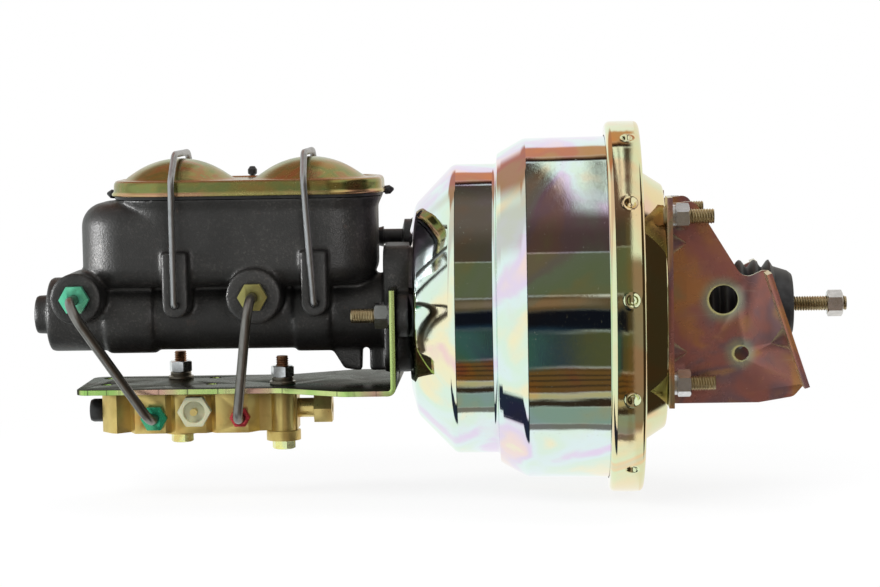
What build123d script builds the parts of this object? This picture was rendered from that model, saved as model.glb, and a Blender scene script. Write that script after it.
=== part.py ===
from build123d import *
import os
from math import cos, radians, sin

os.makedirs("parts", exist_ok=True)

# Frame: +X to the driver's side of the firewall, +Z up, -Y the side with the brake ports.
# The origin is where the booster's axis crosses the firewall face. Sizes are in millimetres.

# Clearances
seat_gap = 0.3
running_gap = 0.07
hole_gap = 0.2

# Booster shells, measured forward from the rear face
bracket_reach = 69.0
shell_wall = 1.8
neck_length = 14.0
neck_r = 24.0
rear_cone_margin = 21.2
rear_cone_width = 9.5
band_setback = 14.6
band_width = 20.7
band_step = 9.2
rim_bend_r = 3.4
lip_gap = 0.8
large_r = 105.2
drum_taper = 0.6
large_end = 85.0
shoulder_length = 13.6
shoulder_drop = 8.2
step_length = 2.8
small_step = 7.7
small_length = 27.1
nose_slope_length = 23.0
nose_edge_length = 3.5
nose_edge_width = 13.5
nose_margin = 9.0
nose_hole_gap = 4.5
stud_pad_r = 8.5
stake_count = 12
stake_phase = 6.5
stake_depth = 22.5
stake_mouth_r = 4.8
stake_sink = 1.3

# Divider, diaphragms, plates and hub
divider_wall = 1.5
divider_setback = 5.6
divider_collar = 8.0
diaphragm_wall = 2.0
plate_wall = 1.6
plate_rim = 20.4
plate_rim_width = 8.0
plate_dish_width = 31.0
hub_r = 20.0
hub_tail = 50.0
hub_nose_length = 13.4
hub_pocket = 11.0
hub_flange_r = 34.0
hub_flange_wall = 4.0
hub_chamber_r = 15.0
hub_chamber_depth = 40.0
seal_length = 7.0
plunger_r = 6.0
plunger_lead = 2.3
rear_plate_depth = 7.6
rear_plate_margin = 12.2
front_plate_setback = 5.6
front_plate_margin = 12.8
roll_length = 13.0
return_coil_r = 29.5
return_wire = 1.7
return_turns = 4
reaction_r = 13.5
reaction_wall = 5.0
output_rod_r = 4.8
retainer_foot = 4.0
rod_socket = 14.0
poppet_lip = 5.0
poppet_skirt = 12.0
poppet_wall = 2.0
filter_length = 10.0
input_wire = 1.0
input_coil_r = 9.5
input_turns = 5

# Pushrod and boot
pushrod_r = 4.76
pushrod_tip = 112.6
pushrod_nut_setback = 2.4
boot_length = 79.0
boot_cuff = 1.7
bellows_gap = 1.5
bellows_end = 65.0
boot_peaks = 6
boot_peak_r = 27.4
boot_root_r = 22.6
boot_end_r = 19.5
boot_wall = 1.5

# Check valve and its grommet
check_y = 42.0
check_z = 43.0
check_pad_r = 14.5
check_pad_setback = 1.4
check_neck_r = 6.5
check_flange_r = 11.0
check_flange = 4.3
grommet_waist_r = 8.9
grommet_head_r = 12.5
grommet_head = 2.9
nipple_length = 26.4
nipple_r = 4.8
nipple_bore_r = 2.6
barb_r = 6.6
barb_length = 5.5

# Fasteners
stud_r = 4.7
stud_head = 2.0
stud_head_step = 2.5
nut_af = 14.3
nut_height = 8.4
washer_r = 8.2
washer_wall = 2.2
master_washer_wall = 1.6
bolt_r = 3.95
bolt_nut_af = 12.7
bolt_nut_height = 7.0
bolt_head_height = 5.6
bolt_reach = 17.3
plain_washer_r = 8.0
plain_washer_wall = 1.8
lock_washer_r = 6.6
lock_washer_wall = 2.5
rear_stud_y = 51.0
rear_stud_z = 50.0
rear_stud_centre_z = 7.5
rear_stud_tip = 28.5
master_stud_y = 43.0
master_stud_reach = 35.5

# Firewall bracket
bracket_wall = 3.2
bracket_web_y = 38.4
bracket_flange_y = 66.0
bracket_top = 69.5
bracket_bottom = -56.0
firewall_tilt = 17.9
firewall_top = 25.0
firewall_bottom = -46.5
firewall_hole_r = 4.5
firewall_hole_y = 54.0
firewall_hole_spacing = 44.0
web_hole_r = 8.7
web_small_hole_r = 4.4
dart_length = 9.0
dart_r = 7.0

# Master cylinder, measured forward from its mounting face
bore_r = 12.7
body_r = 23.0
body_length = 225.5
end_wall = 9.5
end_boss_r = 12.2
end_boss_length = 9.0
ring_rise = 1.9
front_ring = 159.3
front_ring_length = 29.4
rear_ring = 50.0
rear_ring_length = 21.8
ear_wall = 8.0
ear_margin = 15.0
ear_half_z = 13.0
block_wall = 16.5
block_half_y = 28.0
block_top = 41.0
block_bottom = -37.3
pilot_r = 18.5
pilot_length = 9.0
bowl_rear = 20.7
bowl_front = 202.5
bowl_half_y = 39.5
bowl_floor = 18.0
bowl_wall = 5.0
bowl_corner_r = 28.0
bowl_shoulder = 14.0
bowl_lip = 3.0
cavity_floor = 27.0
cavity_split = 99.0
feed_r = 3.0
vent_r = 0.8
seat_z = 72.0
seat_rear = 17.4
seat_front = 181.4
seat_margin = 3.1
seat_corner_r = 31.0
seat_rim = 6.0
port_z = 12.8
port_face_y = 46.5
front_port_setback = 23.3
rear_port = 94.1
front_port_r = 15.6
rear_port_r = 16.8
lug_face_y = 45.0
lug_z = 8.0
front_lug = 141.8
rear_lug = 57.2
lug_r = 8.0
lug_height = 32.0
leg_half_y = 6.0
leg_top = -20.0
leg_slot_top = -22.7
leg_slot_rear = 26.9
leg_slot_width = 4.4

# Pistons
primary_rear = 5.0
primary_skirt = 15.0
piston_length = 63.0
chamber_length = 39.0
piston_land = 3.5
cup_groove = 5.5
cup_depth = 3.3
bore_coil_r = 9.6
bore_wire = 1.2
bore_turns = 5
stop_ring_r = 8.0

# Lid, gasket and bails
gasket_wall = 1.6
gasket_tab = 11.6
gasket_tab_half_y = 7.0
gasket_tab_rise = 5.5
side_tab = 102.0
side_tab_width = 14.0
side_tab_top = 87.0
lid_overlap = 1.0
lid_height = 9.6
lid_wall = 1.2
dome_r = 34.0
dome_height = 13.6
front_dome = 143.3
rear_dome = 62.0
wire_r = 2.0
bail_gap = 5.0
bail_bend_r = 12.0
bail_shoulder = 16.0
bail_bar_gap = 0.15
bail_hook = 9.0
bail_bar_half_y = 30.0
rear_bail_lean = 3.6

# Valve bracket and valve
valve_plate_wall = 3.2
valve_plate_z = -43.8
valve_plate_front = 205.5
valve_plate_half_y = 38.0
valve_flare_start = 80.0
valve_flare_end = 40.0
valve_flange_half_y = 62.0
valve_flange_top = 16.5
cut_out_gap = 1.5
spare_hole_r = 3.8
spare_holes = ((191.0, -8.0), (125.0, -11.0), (194.5, 27.0), (127.0, 24.0))
valve_height = 25.4
valve_front = 193.0
valve_rear = 72.0
valve_near_y = -26.0
valve_far_y = 12.0
valve_axis_y = -4.0
valve_axis_z = -60.0
bolt_a = 148.7
bolt_a_y = 24.0
bolt_b = 80.5
bolt_b_y = -14.0
bolt_lug_r = 9.0
boss_r = 7.6
boss_foot_r = 10.6
boss_foot_height = 6.0
shuttle_r = 5.0
shuttle_length = 40.0
shuttle_waist = 8.0
groove_setback = 9.6
groove_half_width = 3.0
groove_depth = 3.5
chamber_r = 6.0
chamber_start = 13.0
valve_chamber = 24.0
stem_r = 3.0
stem_overhang = 5.0
stem_head_r = 5.4
stem_head = 4.0
metering_coil_r = 4.4
metering_wire = 0.6
cap_r = 7.2
cap_length = 8.5
switch_af = 18.0
switch_height = 7.0
switch_recess_r = 6.6
switch_recess = 4.0
terminal_r = 2.2
terminal_length = 6.0
fitting_af = 17.4
fitting_hex = 11.2
fitting_neck = 10.1
fitting_neck_r = 6.0
fitting_bore_r = 3.2
passage_r = 2.0

# Brake tubes and their nuts
tube_r = 3.0
tube_bend_r = 12.0
front_tube_y = 80.0
rear_tube_y = 76.0
tube_valve_y = 46.0
port_nut_af = 15.9
port_nut_height = 6.0
front_valve_nut_af = 14.3
rear_valve_nut_af = 11.1
valve_nut_height = 6.0
thread_depth = 9.0
port_thread_step = 1.5
valve_thread_step = 1.3
thread_gap = 0.05
drilling_r = 1.6
front_valve_port = 158.6
rear_valve_port = 105.6
valve_port_z = -62.5
switch_port = 133.6
switch_z = -58.5

# Sizes that follow from the ones above
cavity_corner_r = bowl_corner_r - bowl_wall - 1.0
cavity_half_y = bowl_half_y - bowl_wall
cavity_rear = bowl_rear + bowl_wall
cavity_middle_rear = cavity_split - bowl_wall / 2
cavity_middle_front = cavity_split + bowl_wall / 2
cavity_front = seat_front - bowl_lip - bowl_wall
shoulder_end = large_end + shoulder_length
step_depth = shoulder_end + step_length
small_end = step_depth + small_length
nose_rim_depth = small_end + nose_slope_length
booster_depth = nose_rim_depth + nose_edge_length
rim_front = band_setback + band_width
rim_flange = rim_front - shell_wall - seat_gap
band_r = large_r + band_step
flange_r = band_r - shell_wall - 2 * seat_gap
rear_cone_r = large_r - rear_cone_margin
rear_face_r = rear_cone_r - rear_cone_width
shoulder_r = large_r - shoulder_drop
small_r = shoulder_r - small_step
nose_face_r = master_stud_y + nose_margin
nose_rim_r = nose_face_r + nose_edge_width
nose_hole_r = pilot_r + nose_hole_gap
divider_depth = shoulder_end - divider_setback
front_plate_depth = divider_depth + front_plate_setback
front_plate_r = small_r - front_plate_margin
rear_plate_r = large_r - rear_plate_margin
plate_dish_r = rear_plate_r - plate_dish_width
hub_nose_depth = front_plate_depth + hub_nose_length
pocket_depth = hub_nose_depth - hub_pocket
check_pad_depth = booster_depth - check_pad_setback
nipple_tip = check_pad_depth + nipple_length
bore_end = body_length - end_wall
front_port = body_length - front_port_setback
ear_half_y = master_stud_y + ear_margin
seat_half_y = bowl_half_y + seat_margin
lid_rear = seat_rear - lid_overlap
lid_front = seat_front + lid_overlap
lid_half_y = seat_half_y + lid_overlap
lid_corner_r = seat_corner_r + lid_overlap
bail_half_y = lug_face_y + bail_gap
piston_r = bore_r - running_gap
groove_r = bore_r - cup_depth
primary_front = primary_rear + piston_length
secondary_rear = primary_front + chamber_length
secondary_front = secondary_rear + piston_length
washer_stack = plain_washer_wall + lock_washer_wall
port_thread_r = port_nut_af / 2 - port_thread_step
front_thread_r = front_valve_nut_af / 2 - valve_thread_step
rear_thread_r = rear_valve_nut_af / 2 - valve_thread_step
front_groove = front_valve_port - groove_setback
rear_groove = switch_port - groove_setback

rear_x = -bracket_reach
front_x = rear_x - booster_depth
lid_z = seat_z + gasket_wall
dome_top = lid_z + lid_height + dome_height
valve_top = valve_plate_z - valve_plate_wall
valve_bottom = valve_top - valve_height
boss_bottom = valve_bottom - boss_foot_height


def behind(depth):
    """X of a place so far forward of the booster's rear face."""
    return rear_x - depth


def ahead(distance):
    """X of a place so far forward of the master cylinder's mounting face."""
    return front_x - distance


def across(x):
    """Plane square to the booster's axis, facing +X."""
    return Plane.YZ.offset(x)


def upright(y):
    """Plane along the booster's axis at y, facing -Y, with +X to its right."""
    return Plane.XZ.offset(-y)


def sheet_section(points, radii, wall):
    """Section of pressed sheet between a line with rounded corners and that line moved left by the wall."""
    headings = [(Vector(*b) - Vector(*a)).normalized() for a, b in zip(points, points[1:])]
    lefts = [Vector(-heading.Y, heading.X) for heading in headings]
    moved = [Vector(*points[0]) + lefts[0] * wall]
    moved_radii = []
    for corner, before, after, radius in zip(points[1:-1], lefts, lefts[1:], radii):
        moved.append(Vector(*corner) + (before + after) * (wall / (1 + before.dot(after))))
        turn = 1 if before.cross(after).Z > 0 else -1
        moved_radii.append(max(radius - turn * wall, 0))
    moved.append(Vector(*points[-1]) + lefts[-1] * wall)
    with BuildLine() as outline:
        line = FilletPolyline(*points, radius=radii)
        moved_line = FilletPolyline(*moved, radius=moved_radii)
        Line(line @ 0, moved_line @ 0)
        Line(line @ 1, moved_line @ 1)
    make_face(outline.line)


def ring(outer_r, inner_r):
    """Flat ring on the sketch's origin."""
    Circle(outer_r)
    Circle(inner_r, mode=Mode.SUBTRACT)


def hexagon(across_flats, turn=0.0):
    """Hexagon of a nut or bolt head by its width across flats."""
    RegularPolygon(across_flats / 2, 6, major_radius=False, rotation=turn)


def rounded_plan(rear, front, half_y, corner_r):
    """Rounded rectangle in plan on the master cylinder's centre line."""
    with Locations((ahead((rear + front) / 2), 0)):
        RectangleRounded(front - rear, 2 * half_y, corner_r)


# Rear shell: neck, rear face, cone and the deep rim that is rolled over the front shell
with BuildPart() as rear_shell:
    with BuildSketch(Plane.XZ):
        sheet_section(
            [
                (behind(-neck_length), neck_r),
                (behind(0), neck_r),
                (behind(0), rear_face_r),
                (behind(band_setback), rear_cone_r),
                (behind(band_setback), band_r),
                (behind(rim_front), band_r),
                (behind(rim_front), large_r + lip_gap),
            ],
            [2.5, 3.0, 2.5, rim_bend_r, rim_bend_r],
            shell_wall,
        )
    revolve(axis=Axis.X)
    # Flat pads that carry the studs where the face turns into the cone
    with BuildPart(mode=Mode.PRIVATE) as pads:
        with BuildSketch(across(behind(0))):
            with Locations((0, rear_stud_centre_z)):
                with GridLocations(2 * rear_stud_y, 2 * rear_stud_z, 2, 2):
                    Circle(stud_pad_r)
        extrude(amount=-band_setback - shell_wall)
        with BuildSketch(Plane.XZ):
            with BuildLine():
                Polyline(
                    (behind(shell_wall), 0),
                    (behind(shell_wall), rear_face_r - 1.2),
                    (behind(band_setback + shell_wall), rear_cone_r - shell_wall + 0.2),
                    (behind(2 * band_setback), rear_cone_r - shell_wall + 0.2),
                    (behind(2 * band_setback), 0),
                    close=True,
                )
            make_face()
        revolve(axis=Axis.X, mode=Mode.SUBTRACT)
    add(pads.part)
    with BuildSketch(across(behind(shell_wall))):
        with Locations((0, rear_stud_centre_z)):
            with GridLocations(2 * rear_stud_y, 2 * rear_stud_z, 2, 2):
                Circle(stud_pad_r - shell_wall)
    extrude(amount=shell_wall - band_setback + 2, mode=Mode.SUBTRACT)
    # Holes for the rear studs
    with BuildSketch(across(behind(shell_wall + 1))):
        with Locations((0, rear_stud_centre_z)):
            with GridLocations(2 * rear_stud_y, 2 * rear_stud_z, 2, 2):
                Circle(stud_r + hole_gap)
    extrude(amount=shell_wall + 2, mode=Mode.SUBTRACT)
    # Stakes pressed into the rim: a bump inside and a cup outside, all round
    stakes = []
    for stake in range(stake_count):
        turn = radians(stake_phase + 360 / stake_count * stake)
        out = Vector(0, -cos(turn), sin(turn))
        foot = Vector(behind(stake_depth), 0, 0) + out * (band_r - shell_wall)
        stakes.append(Plane(origin=foot, x_dir=(1, 0, 0), z_dir=out))
    with Locations(*stakes):
        Cylinder(stake_mouth_r * 0.6, 1.8 * stake_sink, align=(Align.CENTER, Align.CENTER, Align.CENTER))
    with Locations(*[stake.offset(shell_wall + 0.2) for stake in stakes]):
        Cone(
            stake_mouth_r * 0.45,
            stake_mouth_r,
            stake_sink + 0.2,
            align=(Align.CENTER, Align.CENTER, Align.MAX),
            mode=Mode.SUBTRACT,
        )

# Front shell: trapped rim, large drum, shoulder, small drum, cone and nose
with BuildPart() as front_shell:
    with BuildSketch(Plane.XZ):
        sheet_section(
            [
                (behind(rim_flange), flange_r),
                (behind(rim_flange), large_r),
                (behind(large_end), large_r - drum_taper),
                (behind(shoulder_end), shoulder_r),
                (behind(step_depth), shoulder_r - shell_wall),
                (behind(step_depth), small_r),
                (behind(small_end), small_r),
                (behind(nose_rim_depth), nose_rim_r),
                (behind(booster_depth), nose_face_r),
                (behind(booster_depth), nose_hole_r),
            ],
            [0.4, 5.0, 1.2, 0.6, 2.4, 4.5, 7.0, 6.0],
            shell_wall,
        )
    revolve(axis=Axis.X)
    # Flat pad for the check valve's grommet
    with BuildSketch(across(behind(check_pad_depth))):
        with Locations((check_y, check_z)):
            Circle(check_pad_r)
    extrude(amount=12)
    with BuildSketch(across(behind(check_pad_depth))):
        with Locations((check_y, check_z)):
            Circle(check_pad_r)
    extrude(amount=-4, mode=Mode.SUBTRACT)
    with BuildSketch(across(behind(check_pad_depth - shell_wall))):
        with Locations((check_y, check_z)):
            Circle(check_pad_r - shell_wall)
    extrude(amount=14, mode=Mode.SUBTRACT)
    with BuildSketch(across(behind(booster_depth + 1))):
        with Locations((check_y, check_z)):
            Circle(grommet_waist_r + 0.1)
        with Locations((-master_stud_y, 0), (master_stud_y, 0)):
            Circle(stud_r + hole_gap)
    extrude(amount=22, mode=Mode.SUBTRACT)

# Divider between the two chambers, with a collar for its seal
divider_rim = rim_flange - shell_wall - seat_gap
divider_r = large_r - drum_taper - shell_wall - seat_gap
collar_r = hub_r + 4.4
with BuildPart() as divider:
    with BuildSketch(Plane.XZ):
        sheet_section(
            [
                (behind(divider_rim), flange_r),
                (behind(divider_rim), divider_r),
                (behind(large_end - 1.5), divider_r),
                (behind(divider_depth), divider_r - 5.2),
                (behind(divider_depth), collar_r),
                (behind(divider_depth - divider_collar), collar_r),
            ],
            [2.0, 3.0, 2.0, 2.0],
            divider_wall,
        )
    revolve(axis=Axis.X)

with BuildPart() as divider_seal:
    with BuildSketch(across(behind(divider_depth - 0.3))):
        ring(collar_r - 0.1, hub_r + running_gap)
    extrude(amount=seal_length)

with BuildPart() as neck_seal:
    with BuildSketch(across(behind(-3))):
        ring(neck_r - shell_wall - 0.1, hub_r + running_gap)
    extrude(amount=seal_length)

# Rear diaphragm: bead in the rim, one roll, then the face on its plate
bead_front = divider_rim - divider_wall - seat_gap
bead_rear = band_setback + shell_wall + seat_gap
rear_roll_r = divider_r - divider_wall - 0.8
rear_skin = rear_plate_depth + 2 * seat_gap + diaphragm_wall
with BuildPart() as rear_diaphragm:
    with BuildSketch(Plane.XZ):
        sheet_section(
            [
                (behind(bead_front), band_r - shell_wall - 5),
                (behind(bead_front), rear_roll_r),
                (behind(bead_front + roll_length), rear_roll_r),
                (behind(bead_front + roll_length), rear_plate_r + 0.4),
                (behind(plate_rim + plate_wall + 2.6), rear_plate_r + 0.4),
                (behind(plate_rim + plate_wall + 2.6), rear_plate_r - plate_rim_width),
                (behind(rear_skin), plate_dish_r),
                (behind(rear_skin), hub_r + 4),
            ],
            [1.5, 3.0, 3.0, 1.0, 3.0, 3.0],
            diaphragm_wall,
        )
        with Locations((behind((bead_front + bead_rear) / 2), band_r - shell_wall - 4.6)):
            Rectangle(bead_front - bead_rear, 6.0)
    revolve(axis=Axis.X)

# Rear diaphragm plate: dished so that it lies in the cone of the rear shell
with BuildPart() as rear_diaphragm_plate:
    with BuildSketch(Plane.XZ):
        sheet_section(
            [
                (behind(plate_rim + plate_wall), rear_plate_r),
                (behind(plate_rim + plate_wall), rear_plate_r - plate_rim_width),
                (behind(rear_plate_depth), plate_dish_r),
                (behind(rear_plate_depth), hub_r + 0.1),
            ],
            [3.0, 3.0],
            plate_wall,
        )
    revolve(axis=Axis.X)

# Front diaphragm: bead at the step, one roll, then the face on its plate
front_bead = divider_depth + seat_gap
front_roll_r = small_r - shell_wall - 0.6
front_skin = front_plate_depth + seat_gap + diaphragm_wall
with BuildPart() as front_diaphragm:
    with BuildSketch(Plane.XZ):
        sheet_section(
            [
                (behind(front_bead + diaphragm_wall), small_r + 1),
                (behind(front_bead + diaphragm_wall), front_roll_r),
                (behind(front_bead + roll_length + 1), front_roll_r),
                (behind(front_bead + roll_length + 1), front_plate_r + 2),
                (behind(front_skin), front_plate_r + 2),
                (behind(front_skin), hub_flange_r + 0.5),
            ],
            [1.5, 3.0, 3.0, 1.5],
            diaphragm_wall,
        )
        with Locations((behind(front_bead + 2.8), small_r + 1.4)):
            Rectangle(5.6, 4.8)
    revolve(axis=Axis.X)

with BuildPart() as front_diaphragm_plate:
    with BuildSketch(Plane.XZ):
        sheet_section(
            [
                (behind(front_plate_depth - 4), front_plate_r + plate_wall),
                (behind(front_plate_depth), front_plate_r + plate_wall),
                (behind(front_plate_depth), hub_r + 0.1),
            ],
            [2.0],
            plate_wall,
        )
    revolve(axis=Axis.X)

# Hub: one moulding that carries both plates, the reaction disc and the control valve
with BuildPart() as power_piston:
    with BuildSketch(Plane.XZ):
        with BuildLine():
            Polyline(
                (behind(-hub_tail), hub_chamber_r),
                (behind(-hub_tail), hub_r),
                (behind(front_plate_depth + seat_gap), hub_r),
                (behind(front_plate_depth + seat_gap), hub_flange_r),
                (behind(front_plate_depth + seat_gap + hub_flange_wall), hub_flange_r),
                (behind(front_plate_depth + seat_gap + hub_flange_wall), hub_r),
                (behind(hub_nose_depth), hub_r),
                (behind(hub_nose_depth), reaction_r + 0.5),
                (behind(pocket_depth), reaction_r + 0.5),
                (behind(pocket_depth), plunger_r + running_gap),
                (behind(hub_chamber_depth), plunger_r + running_gap),
                (behind(hub_chamber_depth), hub_chamber_r),
                close=True,
            )
        make_face()
    revolve(axis=Axis.X)

with BuildPart() as reaction_disc:
    with BuildSketch(across(behind(pocket_depth + seat_gap))):
        Circle(reaction_r)
    extrude(amount=-reaction_wall)

rod_base = pocket_depth + 2 * seat_gap + reaction_wall
with BuildPart() as output_rod:
    with BuildSketch(across(behind(rod_base))):
        Circle(reaction_r - 0.2)
    extrude(amount=-retainer_foot)
    with BuildSketch(across(behind(rod_base + retainer_foot))):
        Circle(output_rod_r)
    extrude(amount=ahead(rod_socket - seat_gap) - behind(rod_base + retainer_foot))
    fillet(output_rod.edges().filter_by(GeomType.CIRCLE).sort_by(Axis.X)[0], 1.5)

with BuildPart() as output_rod_retainer:
    with BuildSketch(across(behind(hub_nose_depth))):
        ring(reaction_r + 0.4, output_rod_r + 0.8)
    extrude(amount=hub_nose_depth - rod_base - retainer_foot - seat_gap)


def coil(start_x, end_x, coil_r, wire, turns):
    """Compression spring along the axis, its wire drawn with six flats."""
    length = end_x - start_x
    with BuildPart() as spring:
        with BuildLine() as path:
            Helix(length / turns, length, coil_r, center=(start_x, 0, 0), direction=(1, 0, 0))
        with BuildSketch(Plane(origin=path.line @ 0, z_dir=path.line % 0)):
            RegularPolygon(wire, 6)
        sweep(path=path.line, is_frenet=True)
    return spring.part


with BuildPart() as return_spring:
    spring_front = booster_depth - shell_wall - return_wire - 0.5
    spring_rear = front_plate_depth + seat_gap + hub_flange_wall + return_wire + 0.5
    add(coil(behind(spring_front), behind(spring_rear), return_coil_r, return_wire, return_turns))

# Valve plunger, pushrod and what surrounds them in the hub's tail
plunger_tail = hub_chamber_depth - 4.0
rod_seat = plunger_tail + rod_socket
with BuildPart() as valve_plunger:
    with BuildSketch(across(behind(pocket_depth - plunger_lead))):
        Circle(plunger_r)
    extrude(amount=pocket_depth - plunger_lead - plunger_tail)
    with BuildSketch(across(behind(plunger_tail))):
        Circle(pushrod_r + 0.1)
    extrude(amount=-rod_socket, mode=Mode.SUBTRACT)

with BuildPart() as pushrod:
    with BuildSketch(across(behind(rod_seat - seat_gap))):
        Circle(pushrod_r)
    extrude(amount=rod_seat - seat_gap + pushrod_tip)
    chamfer(pushrod.edges().sort_by(Axis.X)[-1], 1.0)

with BuildPart() as pushrod_nut:
    with BuildSketch(across(behind(pushrod_nut_setback - pushrod_tip))):
        hexagon(nut_af)
        Circle(pushrod_r + 0.05, mode=Mode.SUBTRACT)
    extrude(amount=-nut_height - 1.2)

with BuildPart() as poppet_valve:
    with BuildSketch(across(behind(hub_chamber_depth - seat_gap))):
        ring(hub_chamber_r - 0.2, plunger_r + 1.2)
    extrude(amount=poppet_lip)
    with BuildSketch(across(behind(hub_chamber_depth - seat_gap - poppet_lip))):
        ring(hub_chamber_r - 0.2, hub_chamber_r - 0.2 - poppet_wall)
    extrude(amount=poppet_skirt)

with BuildPart() as input_spring:
    input_front = hub_chamber_depth - poppet_lip - 2 * seat_gap - input_wire
    input_rear = filter_length + 1.0 - hub_tail + seat_gap + input_wire
    input_line = coil(behind(input_front), behind(input_rear), input_coil_r, input_wire, input_turns)
    add(input_line)

with BuildPart() as air_filter:
    with BuildSketch(across(behind(1 - hub_tail))):
        ring(hub_chamber_r - 0.2, pushrod_r + 0.8)
    extrude(amount=-filter_length)

# Rubber boot: a cuff on the neck, bellows, and a tapered end on the rod
cuff_r = neck_r + boot_cuff
bellows_start = neck_length + bellows_gap
with BuildPart() as boot:
    with BuildSketch(Plane.XZ):
        with BuildLine():
            pitch = (bellows_end - bellows_start) / (boot_peaks - 0.5)
            outer = [(behind(-3.0), cuff_r), (behind(-neck_length), cuff_r)]
            inner = [(behind(-3.0), neck_r + 0.1), (behind(-neck_length), neck_r + 0.1)]
            for fold in range(boot_peaks):
                at = bellows_start + pitch * fold
                outer += [(behind(-at), boot_root_r), (behind(-at - pitch / 2), boot_peak_r)]
                inner += [
                    (behind(-at), boot_root_r - boot_wall),
                    (behind(-at - pitch / 2), boot_peak_r - boot_wall * 1.7),
                ]
            outer.append((behind(-boot_length + 2.5), boot_end_r + 1.2))
            outer.append((behind(-boot_length), boot_end_r - 1.5))
            outer.append((behind(-boot_length), pushrod_r + 0.3))
            inner.append((behind(-boot_length + 3.5), boot_end_r - 1.0))
            inner.append((behind(-boot_length + 2.0), pushrod_r + 0.3))
            Polyline(*outer, *reversed(inner), close=True)
        make_face()
    revolve(axis=Axis.X)

# Check valve in its grommet on the front shell, with a barbed nipple for the vacuum hose
with BuildPart() as check_valve_grommet:
    with BuildSketch(Plane(origin=(0, check_y, check_z), z_dir=(0, -1, 0), x_dir=(1, 0, 0))):
        with BuildLine():
            Polyline(
                (behind(check_pad_depth + grommet_head + 0.1), check_neck_r + 0.1),
                (behind(check_pad_depth + grommet_head + 0.1), grommet_head_r - 1),
                (behind(check_pad_depth + 0.1), grommet_head_r),
                (behind(check_pad_depth + 0.1), grommet_waist_r),
                (behind(check_pad_depth - shell_wall - 0.1), grommet_waist_r),
                (behind(check_pad_depth - shell_wall - 0.1), grommet_head_r - 1.5),
                (behind(check_pad_depth - shell_wall - grommet_head - 0.1), grommet_head_r - 2.5),
                (behind(check_pad_depth - shell_wall - grommet_head - 0.1), check_neck_r + 0.1),
                close=True,
            )
        make_face()
    revolve(axis=Axis((0, check_y, check_z), (1, 0, 0)))

check_seat = check_pad_depth + grommet_head + seat_gap
with BuildPart() as check_valve:
    with BuildSketch(Plane(origin=(0, check_y, check_z), z_dir=(0, -1, 0), x_dir=(1, 0, 0))):
        with BuildLine():
            Polyline(
                (behind(nipple_tip), nipple_bore_r),
                (behind(nipple_tip), nipple_r + 0.4),
                (behind(nipple_tip - barb_length), barb_r),
                (behind(nipple_tip - barb_length), nipple_r),
                (behind(check_seat + check_flange + 1.5), nipple_r),
                (behind(check_seat + check_flange), check_flange_r),
                (behind(check_seat), check_flange_r),
                (behind(check_seat), check_neck_r),
                (behind(check_pad_depth - 8.0), check_neck_r),
                (behind(check_pad_depth - 8.0), nipple_bore_r),
                close=True,
            )
        make_face()
    revolve(axis=Axis((0, check_y, check_z), (1, 0, 0)))

# Rear studs with their washers and nuts
with BuildPart() as rear_studs:
    with BuildSketch(across(behind(shell_wall + stud_head))):
        with Locations((0, rear_stud_centre_z)):
            with GridLocations(2 * rear_stud_y, 2 * rear_stud_z, 2, 2):
                Circle(stud_r + 0.8)
    extrude(amount=stud_head)
    with BuildSketch(across(behind(shell_wall))):
        with Locations((0, rear_stud_centre_z)):
            with GridLocations(2 * rear_stud_y, 2 * rear_stud_z, 2, 2):
                Circle(stud_r)
    extrude(amount=shell_wall + rear_stud_tip)
    chamfer(rear_studs.faces().sort_by(Axis.X)[-4:].edges(), 0.8)

with BuildPart() as rear_washers:
    with BuildSketch(across(behind(-bracket_wall))):
        with Locations((0, rear_stud_centre_z)):
            with GridLocations(2 * rear_stud_y, 2 * rear_stud_z, 2, 2):
                Circle(nut_af / 2)
                Circle(stud_r + 0.1, mode=Mode.SUBTRACT)
    extrude(amount=washer_wall)

# Master cylinder studs in the nose of the front shell, with washers and nuts
master_stack = ear_wall + valve_plate_wall
with BuildPart() as master_studs:
    with BuildSketch(across(behind(booster_depth - shell_wall))):
        with GridLocations(2 * master_stud_y, 1, 2, 1):
            Circle(stud_r + stud_head_step)
    extrude(amount=stud_head)
    with BuildSketch(across(behind(booster_depth - shell_wall))):
        with GridLocations(2 * master_stud_y, 1, 2, 1):
            Circle(stud_r)
    extrude(amount=-shell_wall - master_stud_reach)
    chamfer(master_studs.faces().sort_by(Axis.X)[:2].edges(), 0.8)

# The six nuts on the rear studs and the master cylinder's studs are alike
with BuildPart() as stud_nuts:
    with BuildSketch(across(behind(-bracket_wall - washer_wall))):
        with Locations((0, rear_stud_centre_z)):
            with GridLocations(2 * rear_stud_y, 2 * rear_stud_z, 2, 2):
                hexagon(nut_af)
                Circle(stud_r + 0.05, mode=Mode.SUBTRACT)
    extrude(amount=nut_height)
    with BuildSketch(across(ahead(master_stack + master_washer_wall))):
        with GridLocations(2 * master_stud_y, 1, 2, 1):
            hexagon(nut_af)
            Circle(stud_r + 0.05, mode=Mode.SUBTRACT)
    extrude(amount=-nut_height)

with BuildPart() as master_washers:
    with BuildSketch(across(ahead(master_stack))):
        with GridLocations(2 * master_stud_y, 1, 2, 1):
            ring(washer_r, stud_r + 0.1)
    extrude(amount=-master_washer_wall)


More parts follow.
